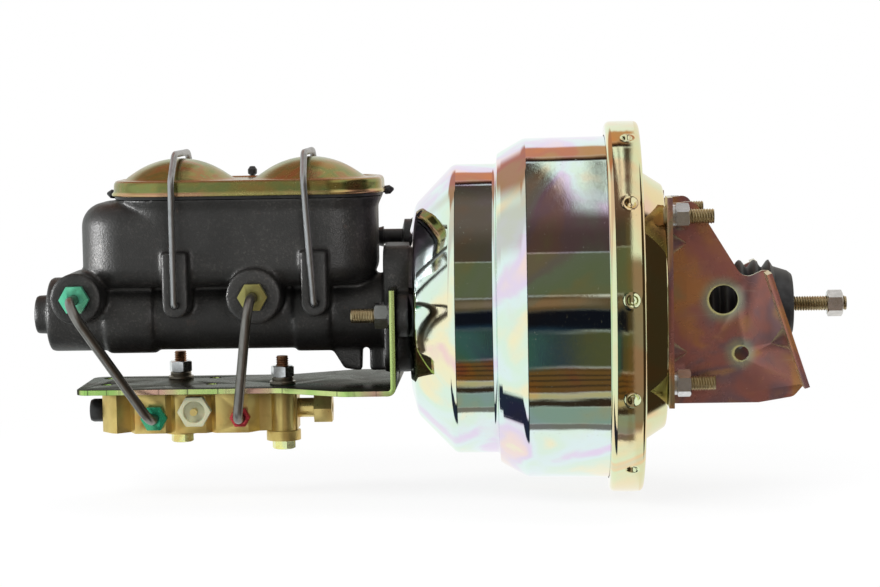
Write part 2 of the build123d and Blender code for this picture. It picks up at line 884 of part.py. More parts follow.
# Firewall bracket: one Z-shaped half each side, with darts pressed across the bends
tilt = radians(firewall_tilt)
firewall = Plane(origin=(0, 0, 0), x_dir=(0, 1, 0), z_dir=(cos(tilt), 0, sin(tilt)))
firewall_back = firewall.offset(-bracket_wall)
web_outer = bracket_web_y + bracket_wall
firewall_hole_z = (firewall_top + firewall_bottom) / 2
with BuildPart() as bracket_half_far:
    with BuildSketch(upright(bracket_web_y)):
        with BuildLine():
            FilletPolyline(
                (behind(-0.05), bracket_top - 5.0),
                (behind(-17.5), bracket_top - 3.2),
                (behind(-46.5), 18.6),
                (behind(-57.5), firewall_top * cos(tilt)),
                (-firewall_top * sin(tilt) - 0.05, firewall_top * cos(tilt)),
                (-firewall_bottom * sin(tilt) - 0.05, firewall_bottom * cos(tilt)),
                (behind(-76.0), -52.5),
                (behind(-55.0), bracket_bottom + 0.1),
                (behind(-0.05), bracket_bottom + 0.1),
                radius=[0.5, 6.0, 7.0, 2.0, 0.5, 0.5, 6.0, 4.0, 0.5],
                close=True,
            )
        make_face()
        with Locations((behind(-34.3), 6.6)):
            Circle(web_hole_r, mode=Mode.SUBTRACT)
        with Locations((behind(-44.9), -26.1)):
            Circle(web_small_hole_r, mode=Mode.SUBTRACT)
    extrude(amount=-bracket_wall)
    # Flange on the booster
    with BuildSketch(across(behind(0))):
        with Locations(((bracket_web_y + bracket_flange_y) / 2, (bracket_top + bracket_bottom) / 2)):
            Rectangle(bracket_flange_y - bracket_web_y, bracket_top - bracket_bottom)
        with Locations((rear_stud_y, rear_stud_centre_z)):
            with GridLocations(1, 2 * rear_stud_z, 1, 2):
                Circle(stud_r + hole_gap, mode=Mode.SUBTRACT)
    extrude(amount=bracket_wall)
    # Flange on the firewall
    with BuildSketch(firewall_back):
        with Locations(((bracket_web_y + bracket_flange_y) / 2, firewall_hole_z)):
            Rectangle(bracket_flange_y - bracket_web_y, firewall_top - firewall_bottom)
        with Locations((firewall_hole_y, firewall_hole_z)):
            with GridLocations(1, firewall_hole_spacing, 1, 2):
                Circle(firewall_hole_r, mode=Mode.SUBTRACT)
    extrude(amount=bracket_wall)
    # Half-cone darts across the bends
    with Locations(
        Plane(origin=(behind(-bracket_wall), web_outer, 40.8), x_dir=(0, 1, 0), z_dir=(1, 0, 0)),
        Plane(origin=(behind(-bracket_wall), web_outer, -24.9), x_dir=(0, 1, 0), z_dir=(1, 0, 0)),
        Plane(
            origin=firewall_back.from_local_coords(Vector(web_outer, -17.3, 0)),
            x_dir=(0, 1, 0),
            z_dir=-firewall.z_dir,
        ),
    ):
        Cone(dart_r, 0.4, dart_length, align=(Align.CENTER, Align.CENTER, Align.MIN))
    split(bisect_by=Plane.XZ.offset(-bracket_web_y), keep=Keep.BOTTOM)

with BuildPart() as bracket_half_near:
    add(mirror(bracket_half_far.part, about=Plane.XZ, mode=Mode.PRIVATE))

# Master cylinder: one iron casting with the bore, the reservoir bowl, ports, lugs and mounting ears
with BuildPart() as master_cylinder:
    # Barrel with its two raised rings and the boss at the front end
    with BuildSketch(across(ahead(0))):
        Circle(body_r)
    extrude(amount=-body_length)
    fillet(master_cylinder.faces().sort_by(Axis.X)[0].edges(), 2.5)
    with BuildSketch(across(ahead(body_length))):
        Circle(end_boss_r)
    extrude(amount=-end_boss_length, taper=2)
    for ring_rear, ring_length in ((front_ring, front_ring_length), (rear_ring, rear_ring_length)):
        with BuildSketch(across(ahead(ring_rear))):
            Circle(body_r + ring_rise)
        extrude(amount=-ring_length)
    # Centre block and mounting ears
    with BuildSketch(across(ahead(0))):
        with Locations((0, (block_top + block_bottom) / 2)):
            RectangleRounded(2 * block_half_y, block_top - block_bottom, 13.0)
    extrude(amount=-block_wall)
    with BuildSketch(across(ahead(0))):
        SlotOverall(2 * ear_half_y, 2 * ear_half_z)
    extrude(amount=-ear_wall)
    with BuildSketch(across(ahead(-pilot_length))):
        Circle(pilot_r)
    extrude(amount=-pilot_length)
    # Web and leg below the barrel, with a cast slot
    leg_slot_front = leg_slot_rear + leg_slot_width
    with BuildSketch(upright(-leg_half_y)):
        with BuildLine():
            Polyline(
                (ahead(leg_slot_front + 20.7), leg_top),
                (ahead(leg_slot_front + 17.4), leg_top - 6.0),
                (ahead(leg_slot_front + 11.4), block_bottom + 1.3),
                (ahead(leg_slot_front + 0.7), block_bottom),
                (ahead(leg_slot_front), leg_slot_top),
                (ahead(leg_slot_rear), leg_slot_top),
                (ahead(leg_slot_rear), block_bottom),
                (ahead(block_wall - 2), block_bottom),
                (ahead(block_wall - 2), leg_top),
                close=True,
            )
        make_face()
    extrude(amount=-2 * leg_half_y)
    # Reservoir bowl: long shoulder at the front, flat seat for the lid
    with BuildPart(mode=Mode.PRIVATE) as bowl:
        with BuildSketch(Plane.XY.offset(bowl_floor)):
            rounded_plan(bowl_rear, bowl_front, bowl_half_y, bowl_corner_r)
        extrude(amount=seat_z - 2 - bowl_floor)
        fillet(bowl.faces().sort_by(Axis.Z)[0].edges(), 13.0)
        fillet(bowl.faces().sort_by(Axis.Z)[-1].edges(), 15.0)
    add(bowl.part)
    with BuildSketch(Plane.XY.offset(bowl_floor + bowl_shoulder)):
        rounded_plan(bowl_rear, seat_front - bowl_lip, bowl_half_y, bowl_corner_r)
    extrude(amount=seat_z - bowl_floor - bowl_shoulder)
    with BuildSketch(Plane.XY.offset(seat_z)):
        rounded_plan(seat_rear, seat_front, seat_half_y, seat_corner_r)
    extrude(amount=-seat_rim, taper=25)
    # Port bosses and bail lugs
    for place, radius in ((front_port, front_port_r), (rear_port, rear_port_r)):
        with BuildSketch(upright(-port_face_y)):
            with Locations((ahead(place), port_z)):
                Circle(radius)
        extrude(amount=-port_face_y)
    for place in (front_lug, rear_lug):
        with BuildSketch(upright(-lug_face_y)):
            with Locations((ahead(place), lug_z)):
                Circle(lug_r)
            with Locations((ahead(place), lug_z + lug_height / 2)):
                Rectangle(2 * lug_r, lug_height)
        extrude(amount=-2 * lug_face_y)
    # Bore, reservoir chambers and the small ports between them
    with BuildSketch(across(ahead(-pilot_length))):
        Circle(bore_r)
    extrude(amount=-pilot_length - bore_end, mode=Mode.SUBTRACT)
    with BuildSketch(Plane.XY.offset(seat_z)):
        rounded_plan(cavity_rear, cavity_middle_rear, cavity_half_y, cavity_corner_r)
        rounded_plan(cavity_middle_front, cavity_front, cavity_half_y, cavity_corner_r)
    extrude(amount=cavity_floor - seat_z, mode=Mode.SUBTRACT)
    with BuildSketch(Plane.XY.offset(cavity_floor)):
        for piston_rear, piston_front in ((primary_rear, primary_front), (secondary_rear, secondary_front)):
            with Locations((ahead((piston_rear + piston_front) / 2), 0)):
                Circle(feed_r)
            with Locations((ahead(piston_front + vent_r + 0.4), 0)):
                Circle(vent_r)
    extrude(amount=-cavity_floor, mode=Mode.SUBTRACT)
    # Tapped ports and their drillings
    for place in (front_port, rear_port):
        with BuildSketch(upright(-port_face_y)):
            with Locations((ahead(place), port_z)):
                Circle(port_thread_r)
        extrude(amount=-thread_depth - 3, mode=Mode.SUBTRACT)
        with BuildSketch(upright(-port_face_y)):
            with Locations((ahead(place), port_z - 2)):
                Circle(passage_r)
        extrude(amount=-port_face_y, mode=Mode.SUBTRACT)
    # Holes for the studs and for the bails' hooks
    with BuildSketch(across(ahead(0))):
        with GridLocations(2 * master_stud_y, 1, 2, 1):
            Circle(stud_r + hole_gap)
    extrude(amount=-ear_wall, mode=Mode.SUBTRACT)
    for near in (-lug_face_y, lug_face_y - bail_hook):
        with BuildSketch(upright(near)):
            with Locations((ahead(front_lug), lug_z), (ahead(rear_lug), lug_z)):
                Circle(wire_r + running_gap)
        extrude(amount=-bail_hook, mode=Mode.SUBTRACT)

with BuildPart() as nose_seal:
    with BuildSketch(across(behind(booster_depth - shell_wall))):
        ring(nose_hole_r - 0.1 + shell_wall, pilot_r + 0.05)
    extrude(amount=shell_wall + 3)
    with BuildSketch(across(behind(booster_depth - shell_wall))):
        ring(nose_hole_r - 0.1, pilot_r + 0.05)
    extrude(amount=-shell_wall)

# Pistons, cups and springs in the bore


def cup_places(rear, skirt, front):
    """Rear edges of a piston's two cup grooves."""
    return rear + skirt, front - piston_land - cup_groove


def piston_outline(rear, skirt, front):
    """Half outline of a piston: land, groove, land, waist, land, groove and front land."""
    rear_groove_place, front_groove_place = cup_places(rear, skirt, front)
    edges = (
        rear_groove_place,
        rear_groove_place + cup_groove,
        rear_groove_place + cup_groove + piston_land,
        front_groove_place - piston_land,
        front_groove_place,
        front_groove_place + cup_groove,
    )
    outline = [(ahead(rear), piston_r)]
    for number, edge in enumerate(edges):
        sides = (piston_r, groove_r) if number % 2 == 0 else (groove_r, piston_r)
        outline += [(ahead(edge), side) for side in sides]
    return outline + [(ahead(front), piston_r), (ahead(front), 0)]


with BuildPart() as primary_piston:
    with BuildSketch(Plane.XZ):
        with BuildLine():
            Polyline(
                (ahead(primary_rear), output_rod_r + seat_gap),
                *piston_outline(primary_rear, primary_skirt, primary_front),
                (ahead(rod_socket), 0),
                (ahead(rod_socket), output_rod_r + seat_gap),
                close=True,
            )
        make_face()
    revolve(axis=Axis.X)

with BuildPart() as secondary_piston:
    with BuildSketch(Plane.XZ):
        with BuildLine():
            Polyline(
                (ahead(secondary_rear), 0),
                *piston_outline(secondary_rear, piston_land, secondary_front),
                close=True,
            )
        make_face()
    revolve(axis=Axis.X)

with BuildPart() as primary_cups:
    for groove in cup_places(primary_rear, primary_skirt, primary_front):
        with BuildSketch(across(ahead(groove + seat_gap))):
            ring(piston_r, groove_r + 0.05)
        extrude(amount=2 * seat_gap - cup_groove)

with BuildPart() as secondary_cups:
    for groove in cup_places(secondary_rear, piston_land, secondary_front):
        with BuildSketch(across(ahead(groove + seat_gap))):
            ring(piston_r, groove_r + 0.05)
        extrude(amount=2 * seat_gap - cup_groove)

spring_seat = bore_wire + 0.4
with BuildPart() as primary_spring:
    primary_gap = (ahead(secondary_rear - spring_seat), ahead(primary_front + spring_seat))
    add(coil(*primary_gap, bore_coil_r, bore_wire, bore_turns))

with BuildPart() as secondary_spring:
    secondary_gap = (ahead(bore_end - spring_seat), ahead(secondary_front + spring_seat))
    add(coil(*secondary_gap, bore_coil_r, bore_wire, bore_turns + 1))

with BuildPart() as piston_stop_ring:
    with BuildSketch(across(ahead(-1))):
        ring(bore_r - 0.05, stop_ring_r)
    extrude(amount=-primary_rear - 1 + seat_gap)

# Gasket under the lid, with a tab at each end and an upturned one on the far side
tab_tip_z = seat_z + gasket_tab_rise
with BuildPart() as lid_gasket:
    with BuildSketch(Plane.XY.offset(seat_z)):
        rounded_plan(seat_rear, seat_front, seat_half_y, seat_corner_r)
        rounded_plan(cavity_rear, cavity_middle_rear, cavity_half_y, cavity_corner_r)
    extrude(amount=gasket_wall)
    for end, tip_z, way in ((seat_front, tab_tip_z, 1), (seat_rear, tab_tip_z - 1, -1)):
        with BuildSketch(upright(-gasket_tab_half_y)):
            with BuildLine():
                Polyline(
                    (ahead(end - 2 * way), seat_z),
                    (ahead(end + 6 * way), seat_z),
                    (ahead(end + gasket_tab * way), tip_z - 0.8),
                    (ahead(end + (gasket_tab - 1) * way), tip_z),
                    (ahead(end + 5 * way), seat_z + gasket_wall - 0.02),
                    (ahead(end - 2 * way), seat_z + gasket_wall - 0.02),
                    close=True,
                )
            make_face()
        extrude(amount=-2 * gasket_tab_half_y)
    with BuildSketch(across(ahead(side_tab))):
        with BuildLine():
            Polyline(
                (seat_half_y - 2, seat_z),
                (seat_half_y + 4, seat_z),
                (seat_half_y + 5.4, side_tab_top),
                (seat_half_y + 4.0, side_tab_top),
                (seat_half_y + 2.6, seat_z + gasket_wall - 0.02),
                (seat_half_y - 2, seat_z + gasket_wall - 0.02),
                close=True,
            )
        make_face()
    extrude(amount=-side_tab_width)

# Lid: pressed skirt and two domes
dome_ball_r = (dome_r**2 + dome_height**2) / (2 * dome_height)
dome_centre_z = dome_top - dome_ball_r
with BuildPart() as reservoir_lid:
    with BuildSketch(Plane.XY.offset(lid_z)):
        rounded_plan(lid_rear, lid_front, lid_half_y, lid_corner_r)
    extrude(amount=lid_height)
    fillet(reservoir_lid.faces().sort_by(Axis.Z)[-1].edges(), 3.0)
    for dome in (front_dome, rear_dome):
        with BuildSketch(Plane.XZ):
            with BuildLine():
                Polyline((ahead(dome), dome_top), (ahead(dome), lid_z + 4), (ahead(dome) + dome_r, lid_z + 4))
                Line((ahead(dome) + dome_r, lid_z + 4), (ahead(dome) + dome_r, lid_z + lid_height))
                RadiusArc((ahead(dome) + dome_r, lid_z + lid_height), (ahead(dome), dome_top), -dome_ball_r)
            make_face()
        revolve(axis=Axis((ahead(dome), 0, 0), (0, 0, 1)))
    with BuildSketch(Plane.XY.offset(lid_z)):
        inside_corner_r = lid_corner_r - lid_wall
        rounded_plan(lid_rear + lid_wall, lid_front - lid_wall, lid_half_y - lid_wall, inside_corner_r)
    extrude(amount=lid_height - lid_wall, mode=Mode.SUBTRACT)
    for dome in (front_dome, rear_dome):
        with BuildSketch(Plane.XZ):
            with BuildLine():
                inner_r = dome_ball_r - lid_wall
                Line((ahead(dome), dome_top - lid_wall), (ahead(dome), lid_z + 6))
                foot = Line((ahead(dome), lid_z + 6), (ahead(dome) + dome_r - 1.6, lid_z + 6))
                side_top = dome_centre_z + (inner_r**2 - (dome_r - 1.6) ** 2) ** 0.5
                side = Line(foot @ 1, (ahead(dome) + dome_r - 1.6, side_top))
                RadiusArc(side @ 1, (ahead(dome), dome_top - lid_wall), -inner_r)
            make_face()
        revolve(axis=Axis((ahead(dome), 0, 0), (0, 0, 1)), mode=Mode.SUBTRACT)

# Wire bails that hook into the lugs and snap over the domes
bail_bar_z = dome_top + wire_r + bail_bar_gap


def bail_wire(plane, height):
    """Wire of one bail in its own plane, from hook to hook."""
    hook_end = lug_face_y - bail_hook + 0.5
    hook_r = 1.6 * wire_r
    knee_r = 0.75 * bail_bend_r
    with BuildPart() as wire:
        with BuildLine(plane) as path:
            FilletPolyline(
                (-hook_end, 0),
                (-bail_half_y, 0),
                (-bail_half_y, height - bail_shoulder),
                (-bail_bar_half_y, height),
                (bail_bar_half_y, height),
                (bail_half_y, height - bail_shoulder),
                (bail_half_y, 0),
                (hook_end, 0),
                radius=[hook_r, knee_r, bail_bend_r, bail_bend_r, knee_r, hook_r],
            )
        with BuildSketch(Plane(origin=path.line @ 0, z_dir=path.line % 0)):
            RegularPolygon(wire_r, 12)
        sweep(path=path.line)
    return wire.part


lean = radians(rear_bail_lean)
with BuildPart() as front_bail:
    pivot = (ahead(front_lug), 0, lug_z)
    add(bail_wire(Plane(origin=pivot, x_dir=(0, 1, 0), z_dir=(1, 0, 0)), bail_bar_z - lug_z))

with BuildPart() as rear_bail:
    pivot = (ahead(rear_lug), 0, lug_z)
    bail_plane = Plane(origin=pivot, x_dir=(0, 1, 0), z_dir=(cos(lean), 0, sin(lean)))
    add(bail_wire(bail_plane, (bail_bar_z - lug_z) / cos(lean)))

# Valve bracket: plate under the cylinder, bent up into a flange on the mounting studs
with BuildPart() as valve_bracket:
    with BuildSketch(upright(valve_flange_half_y)):
        sheet_section(
            [
                (ahead(valve_plate_front), valve_top),
                (ahead(ear_wall), valve_top),
                (ahead(ear_wall), valve_flange_top),
            ],
            [5.0],
            valve_plate_wall,
        )
    extrude(amount=2 * valve_flange_half_y)
    with BuildSketch(Plane.XY.offset(valve_top - 1)):
        with BuildLine():
            FilletPolyline(
                (ahead(0), -valve_flange_half_y),
                (ahead(valve_flare_end), -valve_flange_half_y),
                (ahead(valve_flare_start), -valve_plate_half_y),
                (ahead(valve_plate_front), -valve_plate_half_y),
                (ahead(valve_plate_front), valve_plate_half_y),
                (ahead(valve_flare_start), valve_plate_half_y),
                (ahead(valve_flare_end), valve_flange_half_y),
                (ahead(0), valve_flange_half_y),
                radius=[0, 10.0, 20.0, 8.0, 8.0, 20.0, 10.0, 0],
                close=True,
            )
        make_face()
    extrude(amount=80, mode=Mode.INTERSECT)
    # Opening round the cylinder, stud holes and bolt holes
    with BuildSketch(across(ahead(0))):
        with Locations((0, 50 + block_bottom - 1.2)):
            RectangleRounded(2 * (block_half_y + cut_out_gap), 100, 13.0)
    extrude(amount=-ear_wall - 8, mode=Mode.SUBTRACT)
    with BuildSketch(across(ahead(0))):
        with GridLocations(2 * master_stud_y, 1, 2, 1):
            Circle(stud_r + hole_gap)
    extrude(amount=-ear_wall - 8, mode=Mode.SUBTRACT)
    with BuildSketch(Plane.XY.offset(valve_top)):
        with Locations((ahead(bolt_a), bolt_a_y), (ahead(bolt_b), bolt_b_y)):
            Circle(bolt_r + hole_gap)
        with Locations(*[(ahead(place), y) for place, y in spare_holes]):
            Circle(spare_hole_r)
    extrude(amount=valve_plate_wall, mode=Mode.SUBTRACT)

# Valve body: one forging with the fluid bore along it
with BuildPart() as valve_body:
    with BuildSketch(Plane.XY.offset(valve_bottom)):
        with BuildLine():
            Polyline(
                (ahead(valve_front), valve_far_y - 4),
                (ahead(valve_front), valve_near_y + 13),
                (ahead(valve_front - 7), valve_near_y + 4),
                (ahead(valve_front - 10.5), valve_near_y + 2),
                (ahead(valve_front - 18), valve_near_y + 9),
                (ahead(valve_front - 22), valve_near_y),
                (ahead(front_groove + groove_half_width), valve_near_y),
                (ahead(front_groove), valve_near_y + groove_depth),
                (ahead(front_groove - groove_half_width), valve_near_y),
                (ahead(rear_groove + groove_half_width), valve_near_y),
                (ahead(rear_groove), valve_near_y + groove_depth),
                (ahead(rear_groove - groove_half_width), valve_near_y),
                (ahead(rear_valve_port - 4.6), valve_near_y),
                (ahead(rear_valve_port - 10.6), valve_near_y + 8),
                (ahead(valve_rear), valve_near_y + 12),
                (ahead(valve_rear), valve_far_y - 6),
                (ahead(valve_rear + 18), valve_far_y),
                (ahead(valve_front - 12), valve_far_y),
                close=True,
            )
        make_face()
        with Locations((ahead(bolt_a), bolt_a_y)):
            Circle(bolt_lug_r)
        with Locations((ahead(bolt_a), bolt_a_y - 8)):
            Rectangle(2 * bolt_lug_r, 16)
        with Locations((ahead(bolt_b), bolt_b_y)):
            Circle(boss_r)
    extrude(amount=valve_height - 0.02)
    with BuildSketch(Plane.XY.offset(valve_bottom)):
        with Locations((ahead(bolt_a), bolt_a_y), (ahead(bolt_b), bolt_b_y)):
            Circle(boss_foot_r)
    extrude(amount=-boss_foot_height)
    with BuildSketch(Plane.XY.offset(boss_bottom)):
        with Locations((ahead(bolt_a), bolt_a_y), (ahead(bolt_b), bolt_b_y)):
            Circle(bolt_r + hole_gap)
    extrude(amount=60, mode=Mode.SUBTRACT)
    # Bore: stem chamber at the front, shuttle bore in the middle, fitting at the rear
    bore_origin = (ahead(valve_front), valve_axis_y, valve_axis_z)
    bore_plane = Plane(origin=bore_origin, x_dir=(0, 1, 0), z_dir=(1, 0, 0))
    with BuildSketch(bore_plane):
        Circle(stem_r + running_gap)
    extrude(amount=valve_front - valve_rear, mode=Mode.SUBTRACT)
    with BuildSketch(bore_plane.offset(chamber_start)):
        Circle(chamber_r)
    extrude(amount=valve_chamber, mode=Mode.SUBTRACT)
    with BuildSketch(bore_plane.offset(valve_front - switch_port - shuttle_length / 2 - 10)):
        Circle(shuttle_r + running_gap)
    extrude(amount=shuttle_length + 20, mode=Mode.SUBTRACT)
    with BuildSketch(bore_plane.offset(valve_front - valve_rear - thread_depth - 2)):
        Circle(fitting_neck_r + 0.05)
    extrude(amount=thread_depth + 2, mode=Mode.SUBTRACT)
    # Tapped side ports with drillings into the bore
    for place, height, thread_r in (
        (front_valve_port, valve_port_z, front_thread_r),
        (rear_valve_port, valve_port_z, rear_thread_r),
        (switch_port, switch_z, front_thread_r),
    ):
        with BuildSketch(upright(valve_near_y)):
            with Locations((ahead(place), height)):
                Circle(thread_r)
        extrude(amount=-thread_depth - 2, mode=Mode.SUBTRACT)
        with BuildSketch(upright(valve_near_y)):
            with Locations((ahead(place), valve_axis_z)):
                Circle(drilling_r)
        extrude(amount=valve_near_y - valve_axis_y, mode=Mode.SUBTRACT)

with BuildPart() as shuttle_piston:
    with BuildSketch(bore_plane.offset(valve_front - switch_port - shuttle_length / 2)):
        Circle(shuttle_r)
    extrude(amount=shuttle_length)
    with BuildSketch(bore_plane.offset(valve_front - switch_port - shuttle_waist / 2)):
        ring(shuttle_r + 1, shuttle_r - 2)
    extrude(amount=shuttle_waist, mode=Mode.SUBTRACT)

stem_head_place = chamber_start + valve_chamber - stem_head - 6.0
with BuildPart() as metering_stem:
    with BuildSketch(bore_plane.offset(-stem_overhang)):
        Circle(stem_r)
    extrude(amount=stem_overhang + stem_head_place)
    with BuildSketch(bore_plane.offset(stem_head_place)):
        Circle(stem_head_r)
    extrude(amount=stem_head)

with BuildPart() as metering_spring:
    coil_length = stem_head_place - chamber_start - 3.0
    spring_line = coil(0, coil_length, metering_coil_r, metering_wire, 4)
    coil_start = ahead(valve_front) + chamber_start + 1.5
    add(spring_line.moved(Location((coil_start, valve_axis_y, valve_axis_z))))

with BuildPart() as valve_cap:
    with BuildSketch(bore_plane.offset(-0.1)):
        Circle(cap_r)
        Circle(stem_r + 2, mode=Mode.SUBTRACT)
    extrude(amount=-cap_length + 2)
    with BuildSketch(bore_plane.offset(1.9 - cap_length)):
        Circle(cap_r)
    extrude(amount=-2, taper=20)

with BuildPart() as valve_end_fitting:
    with BuildSketch(bore_plane.offset(valve_front - valve_rear - thread_depth)):
        ring(fitting_neck_r, passage_r)
    extrude(amount=thread_depth + fitting_neck)
    with BuildSketch(bore_plane.offset(valve_front - valve_rear + fitting_neck)):
        hexagon(fitting_af)
        Circle(fitting_bore_r, mode=Mode.SUBTRACT)
    extrude(amount=fitting_hex)

switch_plane = Plane(origin=(ahead(switch_port), valve_near_y, switch_z), x_dir=(1, 0, 0), z_dir=(0, -1, 0))
with BuildPart() as pressure_switch:
    with BuildSketch(switch_plane.offset(0.05)):
        hexagon(switch_af, 0)
    extrude(amount=switch_height)
    with BuildSketch(switch_plane.offset(-thread_depth)):
        Circle(front_thread_r - thread_gap)
    extrude(amount=thread_depth + 1)
    with BuildSketch(switch_plane.offset(switch_height + 0.05)):
        Circle(switch_recess_r)
    extrude(amount=-switch_recess, mode=Mode.SUBTRACT)

with BuildPart() as switch_terminal:
    with BuildSketch(switch_plane.offset(switch_height + 0.1 - switch_recess)):
        Circle(terminal_r)
    extrude(amount=terminal_length)

# Bolts that carry the valve under the plate, with washers and nuts above it
bolt_top = valve_plate_z + bolt_reach
bolt_places = [(ahead(bolt_a), bolt_a_y), (ahead(bolt_b), bolt_b_y)]
with BuildPart() as valve_bolts:
    with BuildSketch(Plane.XY.offset(boss_bottom)):
        with Locations(*bolt_places):
            hexagon(bolt_nut_af)
    extrude(amount=-bolt_head_height)
    with BuildSketch(Plane.XY.offset(boss_bottom)):
        with Locations(*bolt_places):
            Circle(bolt_r)
    extrude(amount=bolt_top - boss_bottom)

with BuildPart() as valve_washers:
    with BuildSketch(Plane.XY.offset(valve_plate_z)):
        with Locations(*bolt_places):
            Circle(plain_washer_r)
            Circle(bolt_r + 0.1, mode=Mode.SUBTRACT)
    extrude(amount=plain_washer_wall)
    with BuildSketch(Plane.XY.offset(valve_plate_z + plain_washer_wall)):
        with Locations(*bolt_places):
            Circle(lock_washer_r)
            Circle(bolt_r + 0.1, mode=Mode.SUBTRACT)
    extrude(amount=lock_washer_wall)

with BuildPart() as valve_nuts:
    with BuildSketch(Plane.XY.offset(valve_plate_z + washer_stack)):
        with Locations(*bolt_places):
            hexagon(bolt_nut_af)
            Circle(bolt_r + 0.05, mode=Mode.SUBTRACT)
    extrude(amount=bolt_nut_height)


def bent_tube(points):
    """Brake tube along rounded corners."""
    with BuildPart() as tube:
        with BuildLine() as path:
            FilletPolyline(*points, radius=tube_bend_r)
        with BuildSketch(Plane(origin=path.line @ 0, z_dir=path.line % 0)):
            RegularPolygon(tube_r, 12)
        sweep(path=path.line)
    return tube.part


with BuildPart() as front_tube:
    add(
        bent_tube(
            [
                (ahead(front_port), -port_face_y + thread_depth, port_z),
                (ahead(front_port), -front_tube_y, port_z),
                (ahead(front_valve_port), -tube_valve_y, valve_port_z),
                (ahead(front_valve_port), valve_near_y + thread_depth, valve_port_z),
            ]
        )
    )

with BuildPart() as rear_tube:
    add(
        bent_tube(
            [
                (ahead(rear_port), -port_face_y + thread_depth, port_z),
                (ahead(rear_port), -rear_tube_y, port_z),
                (ahead(rear_valve_port), -tube_valve_y, valve_port_z),
                (ahead(rear_valve_port), valve_near_y + thread_depth, valve_port_z),
            ]
        )
    )


def tube_nut(place, face_y, height, across_flats, length, thread_r):
    """Nut on a tube that stands out from a port face at face_y, with its thread in the port."""
    plane = Plane(origin=(ahead(place), face_y, height), x_dir=(1, 0, 0), z_dir=(0, -1, 0))
    with BuildPart() as nut:
        with BuildSketch(plane.offset(0.3)):
            hexagon(across_flats)
        extrude(amount=length - 0.3)
        with BuildSketch(plane.offset(-thread_depth)):
            Circle(thread_r)
        extrude(amount=thread_depth + 0.3)
        with BuildSketch(plane.offset(-thread_depth)):
            Circle(tube_r + thread_gap)
        extrude(amount=thread_depth + length, mode=Mode.SUBTRACT)
    return nut.part


port_nut_thread_r = port_thread_r - thread_gap
with BuildPart() as green_tube_nuts:
    add(tube_nut(front_port, -port_face_y, port_z, port_nut_af, port_nut_height, port_nut_thread_r))
    add(
        tube_nut(
            front_valve_port,
            valve_near_y,
            valve_port_z,
            front_valve_nut_af,
            valve_nut_height,
            front_thread_r - thread_gap,
        )
    )

with BuildPart() as brass_tube_nut:
    add(tube_nut(rear_port, -port_face_y, port_z, port_nut_af, port_nut_height, port_nut_thread_r))

with BuildPart() as red_tube_nut:
    add(
        tube_nut(
            rear_valve_port,
            valve_near_y,
            valve_port_z,
            rear_valve_nut_af,
            valve_nut_height,
            rear_thread_r - thread_gap,
        )
    )

pieces = {
    "rear_shell": rear_shell,
    "front_shell": front_shell,
    "divider": divider,
    "divider_seal": divider_seal,
    "neck_seal": neck_seal,
    "nose_seal": nose_seal,
    "rear_diaphragm": rear_diaphragm,
    "rear_diaphragm_plate": rear_diaphragm_plate,
    "front_diaphragm": front_diaphragm,
    "front_diaphragm_plate": front_diaphragm_plate,
    "power_piston": power_piston,
    "reaction_disc": reaction_disc,
    "output_rod": output_rod,
    "output_rod_retainer": output_rod_retainer,
    "return_spring": return_spring,
    "valve_plunger": valve_plunger,
    "pushrod": pushrod,
    "pushrod_nut": pushrod_nut,
    "poppet_valve": poppet_valve,
    "input_spring": input_spring,
    "air_filter": air_filter,
    "boot": boot,
    "check_valve": check_valve,
    "check_valve_grommet": check_valve_grommet,
    "rear_studs": rear_studs,
    "rear_washers": rear_washers,
    "master_studs": master_studs,
    "master_washers": master_washers,
    "stud_nuts": stud_nuts,
    "bracket_half_far": bracket_half_far,
    "bracket_half_near": bracket_half_near,
    "master_cylinder": master_cylinder,
    "primary_piston": primary_piston,
    "primary_cups": primary_cups,
    "primary_spring": primary_spring,
    "secondary_piston": secondary_piston,
    "secondary_cups": secondary_cups,
    "secondary_spring": secondary_spring,
    "piston_stop_ring": piston_stop_ring,
    "lid_gasket": lid_gasket,
    "reservoir_lid": reservoir_lid,
    "front_bail": front_bail,
    "rear_bail": rear_bail,
    "valve_bracket": valve_bracket,
    "valve_body": valve_body,
    "shuttle_piston": shuttle_piston,
    "metering_stem": metering_stem,
    "metering_spring": metering_spring,
    "valve_cap": valve_cap,
    "valve_end_fitting": valve_end_fitting,
    "pressure_switch": pressure_switch,
    "switch_terminal": switch_terminal,
    "valve_bolts": valve_bolts,
    "valve_washers": valve_washers,
    "valve_nuts": valve_nuts,
    "front_tube": front_tube,
    "rear_tube": rear_tube,
    "green_tube_nuts": green_tube_nuts,
    "brass_tube_nut": brass_tube_nut,
    "red_tube_nut": red_tube_nut,
}
for name, piece in pieces.items():
    piece.part.label = name
    export_step(piece.part, f"parts/{name}.step")
    print(name, len(piece.part.solids()), round(piece.part.volume), piece.part.is_valid)
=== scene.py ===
import bmesh
import bpy
import math
from mathutils import Matrix, Quaternion, Vector


